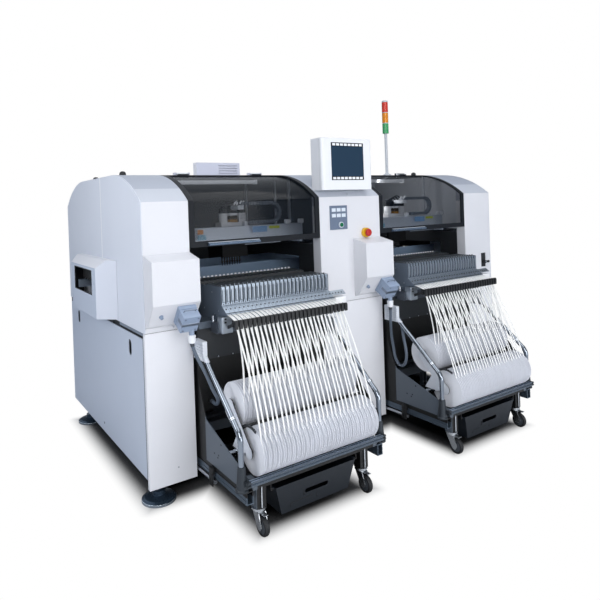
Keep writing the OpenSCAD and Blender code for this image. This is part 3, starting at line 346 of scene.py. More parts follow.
def tube(name, routes, radius, material, body):
    """Makes round tubes through points."""
    curve = bpy.data.curves.new(name, "CURVE")
    curve.dimensions = "3D"
    curve.bevel_depth = radius
    curve.bevel_resolution = 4
    curve.resolution_u = 8
    curve.use_fill_caps = True
    for route in routes:
        spline = curve.splines.new("BEZIER")
        spline.bezier_points.add(len(route) - 1)
        steps = zip([route[0], *route], route, [*route[1:], route[-1]])
        for knot, (before, point, after) in zip(spline.bezier_points, steps):
            way = (after - before).normalized()
            knot.handle_left_type = knot.handle_right_type = "FREE"
            knot.co = point
            knot.handle_left = point - way * (point - before).length / 3
            knot.handle_right = point + way * (after - point).length / 3
    curve.materials.append(material)
    return mount(name, curve, body)


# Camera: sensor and lens in mm, shifts in widths of the picture, angles in degrees, place in metres
SENSOR, LENS = 36, 32.455
SHIFT_X, SHIFT_Y = 0.0615, -0.1543
YAW, PITCH, ROLL = 32.59, 0.27, -1.99
CAMERA_PLACE = (-1.9404, FRONT - 2.1559, 1.2662)
# Lamps: place, width, watts, colour, and the point that each one is aimed at
MACHINE_MIDDLE, RIGHT_BAY = (0, 0, 0.8), (1.16, 0.1, 1.2)
LAMPS = {
    "key": ((-2.6, -4.9, 2.8), 2.5, 86, (1.0, 0.98, 0.97), MACHINE_MIDDLE),
    "front": ((0.5, -4.6, 0.35), 3.0, 98, (0.99, 0.99, 1.0), MACHINE_MIDDLE),
    "left": ((-2.6, -0.5, 1.6), 1.0, 12, (0.98, 0.98, 1.0), MACHINE_MIDDLE),
    "bay": ((0.5, 0.0, 1.33), 0.2, 1.3, (0.98, 0.98, 1.0), RIGHT_BAY),
    "top": ((0.2, -1.0, 4.6), 5.0, 112, (1.0, 1.0, 1.0), MACHINE_MIDDLE),
}
# Light of the room, and the bands that show in its reflections
ROOM_LIGHT = (0.16, 0.2, 0.27, 1)
DARK_BAND, PALE_BAND = (0.03, 0.035, 0.045, 1), (0.85, 0.9, 0.97, 1)
WHITE = (1, 1, 1, 1)


class MACHINE_OT_stage(bpy.types.Operator):
    """Makes the camera, the lamps, the floor and the world"""
    bl_idname = "machine.stage"
    bl_label = "Stage"

    def execute(self, context):
        scene = context.scene
        scene.view_settings.view_transform = "Standard"
        self.camera(scene)
        for name, (spot, size, watts, tint, aim) in LAMPS.items():
            light = bpy.data.lights.new(name, "AREA")
            light.energy, light.size, light.color = watts, size, tint
            lamp = bpy.data.objects.new(name, light)
            lamp.location = spot
            lamp.rotation_euler = (Vector(aim) - Vector(spot)).to_track_quat("-Z", "Y").to_euler()
            scene.collection.objects.link(lamp)
        self.world(scene)
        self.floor(scene)
        return {"FINISHED"}

    def camera(self, scene):
        """Camera fitted to the corners of the covers, the carts and the feet."""
        camera = bpy.data.cameras.new("camera")
        camera.sensor_width, camera.lens = SENSOR, LENS
        camera.shift_x, camera.shift_y = SHIFT_X, SHIFT_Y
        camera.clip_end = 100
        yaw, pitch, roll = (math.radians(v) for v in (YAW, PITCH, ROLL))
        ahead = Vector((math.sin(yaw) * math.cos(pitch), math.cos(yaw) * math.cos(pitch), -math.sin(pitch)))
        level = Vector((math.cos(yaw), -math.sin(yaw), 0))
        rise = level.cross(ahead)
        right = math.cos(roll) * level + math.sin(roll) * rise
        up = -math.sin(roll) * level + math.cos(roll) * rise
        turn = Matrix((right, up, -ahead)).transposed().to_4x4()
        seat = bpy.data.objects.new("camera", camera)
        seat.matrix_world = Matrix.Translation(CAMERA_PLACE) @ turn
        scene.collection.objects.link(seat)
        scene.camera = seat

    def world(self, scene):
        """White behind the machine, bluish light on its sides, and a banded room in its reflections."""
        scene.world, tree = blank(bpy.data.worlds, "studio")
        path = add(tree, "ShaderNodeLightPath").outputs
        way = add(tree, "ShaderNodeTexCoord").outputs["Generated"]
        bands = add(tree, "ShaderNodeTexWave", {"Vector": way, "Scale": 0.4, "Distortion": 1.5})
        mirror = mix_colours(tree, bands.outputs["Fac"], DARK_BAND, PALE_BAND)
        room = mix_colours(tree, path["Is Glossy Ray"], ROOM_LIGHT, mirror)
        seen = calc(tree, "MAXIMUM", path["Is Camera Ray"], path["Is Transmission Ray"])
        sky = add(tree, "ShaderNodeBackground", {0: mix_colours(tree, seen, room, WHITE), 1: 1.0})
        add(tree, "ShaderNodeOutputWorld", {0: sky.outputs[0]})

    def floor(self, scene):
        """Pale floor with a painted shadow near the machine over the lamps' own shadow, going to white away
        from it.
        """
        bm = bmesh.new()
        bmesh.ops.create_grid(bm, x_segments=2, y_segments=2, size=14)
        mesh = bpy.data.meshes.new("floor")
        bm.to_mesh(mesh)
        bm.free()
        floor = bpy.data.objects.new("floor", mesh)
        scene.collection.objects.link(floor)
        material, tree = blank(bpy.data.materials, "pale floor")
        mesh.materials.append(material)
        coord = add(tree, "ShaderNodeTexCoord").outputs["Object"]
        # Distance outside the nearest of the three outlines, negative inside
        away = 9.0
        for name, inset in (("lower_side_panels", 0.0), ("cart_frame_l", 0.045), ("cart_frame_r", 0.045)):
            low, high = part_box(name)
            past = box_distance(tree, coord, (low.x + inset, low.y, -1), (high.x - inset, high.y, 1))
            x_past, y_past, _ = split(tree, past)
            inside = calc(tree, "MINIMUM", calc(tree, "MAXIMUM", x_past, y_past), 0.0)
            outside = vector_calc(tree, "LENGTH", vector_calc(tree, "MAXIMUM", past, (0, 0, 0)))
            away = calc(tree, "MINIMUM", away, calc(tree, "ADD", outside, inside))
        # Painted shadow: the camera sees a white glow that fades out towards the outlines
        bare = rescale(tree, away, (-0.065, 0.055), (0.0, 1.0), interpolation_type="SMOOTHSTEP")
        bare = calc(tree, "MULTIPLY", add(tree, "ShaderNodeLightPath").outputs["Is Camera Ray"], bare)
        # Painted shadow: the floor's colour darkens under the outlines and where ambient occlusion finds
        # the machine close
        under = rescale(tree, away, (-0.14, 0.0), (0.06, 1.0))
        near = add(tree, "ShaderNodeAmbientOcclusion", {"Distance": 0.5}, samples=8).outputs["AO"]
        pale = calc(tree, "MULTIPLY", calc(tree, "POWER", near, 1.5), under)
        matt = add(tree, "ShaderNodeBsdfDiffuse", {0: pale}).outputs[0]
        glow = add(tree, "ShaderNodeEmission", {0: WHITE, 1: 1.0}).outputs[0]
        mixed = add(tree, "ShaderNodeMixShader", {0: bare, 1: matt, 2: glow}).outputs[0]
        add(tree, "ShaderNodeOutputMaterial", {0: mixed})


STEEL, ZINC, SHADE = "#b9bec5", "#c3c7cb", "#c3ccda"
POWDER_ROUGH = 0.42
ABOVE_FLOOR = (0, FAR)


def powder(name, colour, zones=(), edge_mm=3):
    """Powder coat on sheet steel: even, half matt, with a fine peel and soft folded edges."""
    return finish(f"powder coated {name}", colour, POWDER_ROUGH, grain_mm=3, edge_mm=edge_mm, mottle=0.03,
                  zones=zones)


class MACHINE_OT_machine_finishes(bpy.types.Operator):
    """Gives every solid of the machine its finish"""
    bl_idname = "machine.machine_finishes"
    bl_label = "Finishes of the machine"

    def execute(self, context):
        c = context.scene.machine_colours
        self.covers(c)
        self.base_and_windows(c)
        self.board_path(c)
        self.operator_panel(c)
        return {"FINISHED"}

    def covers(self, c):
        """Powder coat of the columns, hoods, sides and roof."""
        # Faces that look into the machine; inner faces get the inside colour as painted shade
        to_middle = [both(region(x=(-FAR, 0), z=ABOVE_FLOOR), facing(RIGHT)),
                     both(region(x=(0, FAR), z=ABOVE_FLOOR), facing(LEFT))]
        rear = region(y=(FRONT + 0.6, FAR), z=ABOVE_FLOOR)
        inner = [(zone, c.inside, 0.6, 0.0)
                 for zone in (*to_middle, both(rear, facing(FORWARD, 0.05)), facing(DOWN))]
        paint(powder("cover", c.cover), "lower_column_covers")
        # Painted shade: the curve at the top of a column is painted greyer towards the roof, the more its
        # faces point up
        top_shades = ((0.3, "#e0e3e9"), (0.5, "#d3d7de"), (0.7, "#c3c8d1"), (0.86, "#adb3bf"))
        curve = [(both(region(z=(1.25, FAR)), facing(UP, least)), code, POWDER_ROUGH, 0.0)
                 for least, code in top_shades]
        # The side of a brow is in the shade of the window beside it
        shaded = both(region(x=(-0.3, FAR), z=(1.25, FAR)), facing(LEFT, 0.9))
        brow = (shaded, "#a9afba", POWDER_ROUGH, 0.0)
        paint(powder("column", c.column, [*curve, brow]), "upper_column_covers")
        # Painted shade: the hoods' sides take the shade colour and their fronts a pale grey, and they are
        # painted dark inside
        hollow = [both(rear, facing(FORWARD)), *to_middle, both(region(z=(0, 0.86)), facing(UP)),
                  region(y=(FRONT + 0.484, FRONT + 0.816), z=(0.86, 0.98))]
        paint(powder("hood", c.cover, [
            (facing(LEFT, 0.95), SHADE, POWDER_ROUGH, 0.0),
            (facing(RIGHT, 0.95), SHADE, POWDER_ROUGH, 0.0),
            (facing(FORWARD), "#d0d5df", POWDER_ROUGH, 0.0),
            *((zone, c.casting, 0.6, 0.0) for zone in hollow)]), "conveyor_hoods")
        # Painted highlight along the seam between the halves of a side; the right wall inside is painted
        # light, paler than the inside colour
        seam = (region(y=(FRONT + 0.563, FRONT + 0.575), z=ABOVE_FLOOR), "#f6f8fb", 0.4, 0.0)
        wall = (to_middle[1], "#d3d9e2", 0.6, 0.0)
        paint(powder("side", c.side, [seam, *inner, wall]), "upper_side_covers")
        paint(powder("rear", c.side, inner), "rear_panels")
        # Painted shade: the lower side panels take the shade colour, with a painted shadow line where the
        # side meets the folded edge of the front cover
        fold = (region(y=(-FAR, FRONT + 0.0265), z=ABOVE_FLOOR), "#4a5564", 0.5, 0.0)
        paint(powder("lower side", SHADE, [fold, *inner]), "lower_side_panels")
        # Front of the vent hood, greyer than the roof as painted shade
        vent = both(region(x=(-FAR, 0.5), z=(1.4305, 1.6)), facing(FORWARD))
        paint(powder("roof", c.cover, [(vent, "#c3c6d4", 0.5, 0.0), *inner], edge_mm=2), "roof_cover")

    def base_and_windows(self, c):
        """Paint of the base, plating of the feet, and the frames and panes of the front covers."""
        # Cast iron under dark paint, with ground docking bars below it and bright posts above it
        paint(finish("painted casting", c.casting, 0.6, grain_mm=6, grain_depth_mm=0.2, edge_mm=2, zones=[
            (region(z=(0, 0.134)), STEEL, 0.3, 1.0),
            (region(z=(1.0565, FAR)), "#c5ccd5", 0.4, 0.3)]), "base_frame")
        # Turned steel foot with a bluish plating
        paint(finish("plated foot", "#3b4c5d", 0.3, metal=0.6, grain_mm=4, edge_mm=2, zones=[
            (region(z=(-1, 0.011)), "#c8d4e0", 0.2, 0.9)]), "levelling_feet")
        paint(finish("rubber cap", "#16181b", 0.6), "eyebolt_caps")
        # Black painted frame with an anodised grip strip along its lower edge, whose top is paler as a
        # painted highlight, and zinc knuckles
        grip = region(y=(FRONT - 0.1, FRONT - 0.0005), z=(1.0, 1.2))
        paint(finish("black frame", c.black, 0.5, grain_mm=3, edge_mm=1, specular=0.2, zones=[
            (grip, "#56677b", 0.4, 0.4),
            (both(grip, facing(UP, 0.5)), "#eaf0f6", 0.35, 0.2),
            (region(y=(FRONT + 0.36, FRONT + 0.4), z=(1.431, 1.5)), ZINC, 0.35, 1.0)]),
              "front_cover_frame_l", "front_cover_frame_r")
        # Smoked acrylic: clear enough to show the gantry, with a soft gloss
        paint(finish("smoked acrylic", c.window, 0.08, mottle=0.02, grain_mm=60, grain_depth_mm=0.02,
                     specular=0.2, alpha=0.32), "front_cover_window_l", "front_cover_window_r")

    def board_path(self, c):
        """Metal of the conveyor and the gantry."""
        # Anodised aluminium rails between painted guards
        guards = [(region(y=depth, z=ABOVE_FLOOR), c.guard, 0.5, 0.0)
                  for depth in ((-FAR, FRONT + 0.45), (FRONT + 0.85, FAR))]
        paint(finish("anodised rail", "#9aa6b4", 0.35, metal=0.9, brushed=(0.02, 1, 1), edge_mm=1,
                     zones=guards), "conveyor_fixed_rails", "conveyor_moving_rail")
        paint(finish("ground steel guide", STEEL, 0.22, metal=1.0, brushed=(1, 0.02, 1), edge_mm=0.6),
              "gantry_rails")
        paint(finish("anodised beam", "#ccd6e4", 0.4, metal=0.35, brushed=(0.02, 1, 1), edge_mm=2),
              "beam_l", "beam_r")
        for s in SIDES:
            x = middle(f"head_{s}").x
            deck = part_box(f"beam_{s}")[1].z + 0.019
            amplifier = (x - 0.020, x + 0.026)
            # Painted head: an amber and black amplifier between pale blocks, dark above, and its lower body
            # dark as painted shade
            paint(finish(f"painted head {s}", "#e9ecf0", 0.4, edge_mm=1.5, specular=0.15, zones=[
                (region(x=amplifier, z=(deck, deck + 0.03)), "#a87a2a", 0.4, 0.0),
                (region(x=amplifier, z=(deck + 0.015, deck + 0.036)), "#3a2a14", 0.5, 0.0),
                (region(z=(deck + 0.048, deck + 0.2)), "#101317", 0.5, 0.0),
                (region(z=(0.9, deck - 0.08)), "#0b0d10", 0.6, 0.0)]), f"head_{s}")
        paint(finish("dark steel nozzle", "#15181c", 0.5, metal=0.3), "nozzles_l", "nozzles_r")

    def operator_panel(self, c):
        """Plastics of the monitor, the buttons, the signal tower and the connectors."""
        # Moulded ABS: even, half matt, with a fine spark grain
        paint(finish("moulded housing", "#eef0f3", 0.45, grain_mm=1.5, edge_mm=3), "monitor_housing")
        low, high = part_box("monitor_screen")
        strips = [(region(z=(z, z + 0.02)), "#0a0c0f", 0.4, 0.0) for z in (low.z - 0.001, high.z - 0.019)]
        paint(finish("display", c.screen, 0.5, mottle=0.06, grain_mm=40, grain_depth_mm=0, zones=strips,
                     specular=0.15), "monitor_screen")
        low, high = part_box("control_panel")
        keys = region(x=(low.x - 1, high.x), y=(-FAR, FRONT - 0.0038), z=(low.z, FAR))
        paint(finish("key panel", "#66748a", 0.45, edge_mm=0.5, zones=[
            (keys, "#dbe3ec", 0.45, 0.0),
            (round_axis(1, middle("estop_button"), 0.03), "#e5b51c", 0.4, 0.0)]), "control_panel")
        paint(finish("green button", "#1d6d47", 0.25, edge_mm=1), "start_button")
        paint(finish("red button", "#b9231f", 0.3, edge_mm=1), "estop_button")
        low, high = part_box("signal_tower")
        pole = low.z + 0.28
        lamp = (high.z - 0.01 - pole) / 3
        lamps = [(region(z=(pole + lamp * i, pole + lamp * (i + 0.93))), code, 0.15, 0.0)
                 for i, code in enumerate(("#3f9d62", "#e08a1e", "#cf3a2c"))]
        paint(finish("signal tower", "#c3c8ce", 0.3, zones=lamps, mottle=0.1), "signal_tower")
        # Painted castings; the gland under each plug is pale plastic
        paint(finish("painted connector", c.connector, 0.4, edge_mm=1.5, zones=[
            (region(z=(0.69, 0.735)), "#e8ebef", 0.45, 0.0)]), "cart_sockets", "plug_l", "plug_r")


class MACHINE_OT_cart_finishes(bpy.types.Operator):
    """Gives every solid of the carts its finish"""
    bl_idname = "machine.cart_finishes"
    bl_label = "Finishes of the carts"

    def execute(self, context):
        c = context.scene.machine_colours
        for s in SIDES:
            self.cart_frame(s, c)
            self.feeders(s, c, context.scene.machine_sizes)
            # Black painted tray with a pale end plate and chromed cross rods
            paint(finish(f"reel tray {s}", "#121417", 0.45, edge_mm=1, zones=[
                (both(region(x=(-FAR, CART_X[s] - 0.29), z=(0, 0.6)), facing(LEFT)), "#e2e7ee", 0.5, 0.0),
                (region(y=(FRONT - 0.3, FRONT - 0.21), z=(0.25, 0.298)), STEEL, 0.15, 1.0)]),
                  f"reel_tray_{s}")
            # Moulded polystyrene: pale, a little bluish, smooth
            paint(finish(f"reel flange {s}", c.reel, 0.35, mottle=0.12, grain_mm=14, brushed=(1, 0.1, 0.1)),
                  f"front_reels_{s}", f"rear_reels_{s}")
            paint(finish(f"moulded bin {s}", c.waste_bin, 0.45, grain_mm=2.5, grain_depth_mm=0.08,
                         edge_mm=1.5), f"waste_bin_{s}")
            for name in (f"caster_wheel_{s}l", f"caster_wheel_{s}r", f"rear_wheels_{s}"):
                hub = round_axis(0, middle(name), 0.0275)
                paint(finish(f"rubber {name}", "#1c1e21", 0.65, zones=[(hub, "#4a4f55", 0.45, 0.0)]), name)
            paint(finish(f"zinc fork {s}", ZINC, 0.3, metal=1.0, edge_mm=0.6),
                  f"caster_fork_{s}l", f"caster_fork_{s}r")
        return {"FINISHED"}

    def cart_frame(self, s, c):
        """Painted plates with anodised rails, a dark panel and black members, and painted shade on the
        plates and the panel; chromed handle tubes.
        """
        black, grey, rail = "#060708", "#23272c", "#596673"
        x = CART_X[s]
        left, right = (-FAR, x - 0.321), (x + 0.321, FAR)
        panel = (FRONT - 0.026, FRONT - 0.012)
        zones = [
            # Side plates, black as painted shade where they run back into the bay and on their inner faces
            (region(y=(FRONT - 0.07, FAR), z=(0.1902, 0.74)), black, 0.5, 0.0),
            (both(region(x=(-FAR, x), z=(0.1902, 0.74)), facing(RIGHT)), black, 0.5, 0.0),
            # Side rails
            (region(x=left, z=(0.139, 0.1902)), black, 0.5, 0.0),
            (region(x=left, z=(0.139, 0.169)), rail, 0.35, 0.6),
            (region(x=right, z=(0.139, 0.1902)), rail, 0.35, 0.6),
            # Front panel, dark grey, with its lower part black as painted shade of an opening
            (region(y=panel, z=(0.38, 0.739)), grey, 0.5, 0.0),
            (region(y=panel, z=(0.38, 0.6)), black, 0.6, 0.0),
            # Feeder table
            (region(y=(FRONT - 0.2, FAR), z=(0.7395, 0.8)), "#5d6772", 0.4, 0.5),
            (region(y=(FRONT - 0.2, FRONT - 0.041), z=(0.7, 0.8)), "#565c65", 0.4, 0.5),
            # Cross members
            (region((x - 0.3, x + 0.3), (FRONT - 0.41, FRONT - 0.08), (0.1, 0.224)), black, 0.5, 0.0)]
        paint(finish(f"cart frame {s}", c.cart, 0.45, grain_mm=4, edge_mm=1, zones=zones),
              f"cart_frame_{s}")
        # Chromed tube in dark sockets, with a grooved bar whose top is paler as a painted highlight, and
        # pale moulded brackets
        bar = region((x - 0.34, x + 0.34), (-FAR, FRONT - 0.39), (0.205, 0.242))
        paint(finish(f"chromed tube {s}", "#8d959f", 0.07, metal=1.0, mottle=0.02, grain_depth_mm=0, zones=[
            (region(y=(-FAR, FRONT - 0.34), z=(0.1, 0.281)), "#33393f", 0.4, 0.4),
            (bar, "#58626d", 0.35, 0.6),
            (both(bar, facing(UP)), "#98a8ba", 0.35, 0.6),
            (region(z=(0.6195, 0.8)), "#d9dee5", 0.45, 0.0)]), f"handle_rails_{s}")

    def feeders(self, s, c, sizes):
        """Anodised feeder fronts with bright latches between dark sides, and painted shade in dark stripes
        between the fronts.
        """
        top, side = "#1d2125", "#1b1f23"
        start = CART_X[s] + BANK_SHIFT / 1000 - sizes.tape_n / 2 * sizes.feeder_pitch
        fronts = region(y=(FRONT - 0.108, FAR), z=(0.845, 1))
        gap_shade = both(stripes(0, start, sizes.feeder_pitch, 0.32), fronts)
        first = both(region(x=(-FAR, start + 0.002), z=ABOVE_FLOOR), facing(LEFT))
        paint(finish(f"feeders {s}", c.feeder, 0.3, metal=0.75, brushed=(1, 1, 0.05), edge_mm=0.8, zones=[
            (gap_shade, "#27303a", 0.5, 0.2),
            (facing(UP, 0.9), top, 0.5, 0.0),
            (region(y=(FRONT, FAR), z=(0.84, 1)), top, 0.5, 0.0),
            (facing(RIGHT), side, 0.5, 0.0),
            (facing(LEFT), side, 0.5, 0.0),
            (first, "#6b7683", 0.45, 0.2),
            (region(y=(FRONT - 0.115, FRONT - 0.1061), z=(0.84, 1)), "#98a1ab", 0.35, 0.6)]),
              f"feeders_{s}")


# Tape path in mm from the column fronts: lip of the feeders, bend, comb, and the axes of the reel rows
TAPE_LIP = (-150.4, 807)
TAPE_BEND = ((-170, 804), (-190, 799))
TAPE_COMB = (-205, 793)
REEL_AXES = {"front": (-360, 316), "rear": (-225, 460)}
REEL_PACK_R = 73
# How far the two tapes of a feeder lie from its middle, and the thickness of the paper, in metres
TAPE_ASIDE, TAPE_THICK = 0.0052, 0.0008


class MACHINE_OT_tapes(bpy.types.Operator):
    """Makes the component tapes from the feeders over the combs to the reels"""
    bl_idname = "machine.tapes"
    bl_label = "Component tapes"

    def execute(self, context):
        c, sizes = context.scene.machine_colours, context.scene.machine_sizes
        # Carrier tape of paper board: matt, a little warm
        paper = finish("paper carrier tape", c.tape, 0.7, mottle=0.06, grain_mm=4)
        for s in SIDES:
            bm = bmesh.new()
            for i in range(sizes.tape_n):
                step = i - (sizes.tape_n - 1) / 2
                for row, aside in (("front", -TAPE_ASIDE), ("rear", TAPE_ASIDE)):
                    # The sines let each tape lie a little differently
                    loose = 1 - 0.2 * abs(math.sin(3.7 * i + aside * 400))
                    slack = 6 + 5 * math.sin(2.4 * i + aside * 900)
                    x_top = CART_X[s] + BANK_SHIFT / 1000 + step * sizes.feeder_pitch + aside * loose
                    x_low = CART_X[s] + REEL_SHIFT / 1000 + step * sizes.reel_pitch
                    self.strip(bm, x_top, x_low, REEL_AXES[row], sizes.tape_w, slack)
            made = piece(f"tape_strips_{s}", bm, paper, f"cart_{s}", smooth=60)
            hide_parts(f"tapes_{s}")
            wall = made.modifiers.new("thickness", "SOLIDIFY")
            wall.thickness = TAPE_THICK
            wall.offset = 0.0
        return {"FINISHED"}

    def strip(self, bm, x_top, x_low, axis, width, slack):
        """One tape: its edge is drawn along the path, with a little slack between the comb and the reel."""
        span = (TAPE_COMB[0] - axis[0], TAPE_COMB[1] - axis[1])
        turn = math.atan2(span[1], span[0]) + math.acos(REEL_PACK_R / math.hypot(*span))
        path = [(point, 0) for point in (TAPE_LIP, *TAPE_BEND, (TAPE_COMB[0] - 2, TAPE_COMB[1]))]
        away = Vector(on_circle(axis, REEL_PACK_R, turn)) - Vector(TAPE_COMB)
        out = Vector((away.y, -away.x)).normalized()
        for k in range(1, 9):
            t = k / 8
            path.append((Vector(TAPE_COMB) + away * t + out * slack * math.sin(math.pi * t), t))
        path += [(on_circle(axis, REEL_PACK_R, turn + 0.12 * k), 1) for k in range(1, 4)]
        last = None
        for (y, z), t in path:
            x = x_top + (x_low - x_top) * t ** 3
            pair = [bm.verts.new((x + d, FRONT + y / 1000, z / 1000)) for d in (-width / 2, width / 2)]
            if last:
                bm.faces.new((last[0], last[1], pair[1], pair[0]))
            last = pair


# Routes of the cart cables, from the gland of the plug to the gland of the cart, in mm
CABLE_ROUTES = {
    "l": [
        (-993, -88, 699.7), (-991, -92.5, 680.3), (-987.4, -99.5, 661.9), (-981.7, -106.1, 643.8),
        (-974.3, -110.9, 625.8), (-966.6, -115.6, 607.9), (-959.5, -121.2, 590), (-953.1, -127.4, 572),
        (-947.4, -133.4, 553.8), (-941.9, -138.5, 535.2), (-935.5, -142.1, 516.5), (-927.5, -143.2, 498.2),
        (-917.7, -141.2, 480.9), (-908.1, -135.5, 464.3), (-900.8, -125.6, 448.4), (-895.5, -111.9, 434.9),
        (-891.3, -95, 425), (-888, -76.1, 419.6), (-885.7, -56.2, 418.6), (-884, -36.3, 420),
    ],
    "r": [
        (163, -88, 699.7), (165.4, -86.1, 678.2), (168, -83, 656.9), (171.3, -78.7, 635.9),
        (176, -73.8, 615.2), (181.4, -68.7, 594.8), (186.7, -64.1, 574.3), (191.6, -60.4, 553.5),
        (196, -58.1, 532.3), (199.6, -57.7, 510.9), (202.5, -59, 489.4), (204.3, -61.3, 467.9),
        (205, -64.4, 446.5), (203.7, -71.2, 425.9), (200.1, -83.8, 408.8), (194.6, -101.2, 397.2),
        (188.2, -121.4, 393), (181.8, -141.7, 396.5), (175.9, -159.9, 406.7), (171.1, -174, 422.3),
        (168, -182.6, 441.9), (166.8, -185.8, 463.3), (167.6, -184, 484.9), (170.3, -178.2, 505.6),
        (174.8, -169.5, 525), (181.2, -158.9, 542.8), (189.7, -147.2, 558.9), (199.8, -135, 573.8),
        (209, -122.7, 589.1), (217, -109.6, 604.5), (223.9, -94.8, 618.8), (230.1, -77.6, 630.4),
        (234.6, -57.7, 637.7), (237, -36.3, 640),
    ],
}


class MACHINE_OT_cables(bpy.types.Operator):
    """Makes the cables from the column sockets to the carts"""
    bl_idname = "machine.cables"
    bl_label = "Cart cables"

    def execute(self, context):
        c, diameter = context.scene.machine_colours, context.scene.machine_sizes.cable_d
        # PVC sheath, extruded: half gloss, with a faint drawn grain
        sheath = finish("pvc cable sheath", c.cable, 0.5, mottle=0.12, grain_mm=3)
        # Moulded strain relief: matt and soft
        rubber = finish("moulded strain relief", "#3a4048", 0.6, grain_mm=2)
        # Moulded gland nut: white, half matt
        nut = finish("moulded gland nut", "#f0f2f5", 0.4, grain_mm=2)
        # Zinc plated clips of the plugs
        zinc = finish("zinc plug clip", "#8a94a2", 0.35, metal=0.9, grain_mm=2)
        for side in SIDES:
            points = [at(*point) for point in CABLE_ROUTES[side]]
            made = tube(f"cart_cable_{side}", [points], diameter / 2, sheath, f"cart_{side}")
            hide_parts(f"cable_{side}")
            bm = bmesh.new()
            ends = ((points[0], points[1]), (points[-1], points[-2]))
            for a, b in ends:
                rod(bm, a, a + (b - a).normalized() * 0.014, diameter * 0.68, diameter * 0.54)
            piece(f"strain_reliefs_{side}", bm, rubber, f"cart_{side}")
            # Nut of the gland round the end of the plug
            bm = bmesh.new()
            top = points[0]
            rod(bm, top + Vector((0, 0, 0.004)), top + Vector((0, 0, 0.026)), 0.0155, segments=24)
            rod(bm, top + Vector((0, 0, 0.026)), top + Vector((0, 0, 0.034)), 0.017, segments=6)
            piece(f"gland_nut_{side}", bm, nut, f"cart_{side}")
            self.plug_details(side, zinc)
        return {"FINISHED"}

    def plug_details(self, side, zinc):
        """Raised cover plate, side clips and a wire bail on a plug, square to the slanted face under it."""
        low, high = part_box(f"plug_{side}")
        a, b = low.x, high.x
        turn = Matrix(((1, 0, 0), Vector((0, 65, -92)).normalized(), Vector((0, 92, 65)).normalized()))
        seat = Matrix.Translation(Vector((0, FRONT - 0.095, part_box("cart_sockets")[1].z + 0.0116)))
        seat = seat @ turn.transposed().to_4x4()
        bm = bmesh.new()
        # Lengths here run down the slanted face, and away from it when negative
        for x in (a - 0.002, b - 0.001):
            block(bm, (x, 0.05, -0.066), (x + 0.003, 0.064, -0.03), 0.0008, 1)
            rod(bm, (x - 0.001, 0.057, -0.036), (x + 0.004, 0.057, -0.036), 0.005, segments=16)
        block(bm, (a - 0.002, 0.05, -0.072), (b + 0.002, 0.064, -0.066), 0.001, 1)
        for x in (a + 0.012, b - 0.012):
            rod(bm, (x, 0.017, -0.034), (x, 0.004, -0.04), 0.0022, segments=10)
        rod(bm, (a + 0.012, 0.004, -0.04), (b - 0.012, 0.004, -0.04), 0.0022, segments=10)
        for x in (a + 0.01, b - 0.01):
            for s in (0.026, 0.088):
                rod(bm, (x, s, -0.069), (x, s, -0.072), 0.0035, segments=12)
        bmesh.ops.transform(bm, matrix=seat, verts=bm.verts)
        piece(f"plug_clips_{side}", bm, zinc, f"cart_{side}")


# Runs of the drag chains above the beams, and where they bend from the middle of the head, in metres
CHAIN_LOW, CHAIN_HIGH, CHAIN_TURN = 0.016, 0.114, 0.2


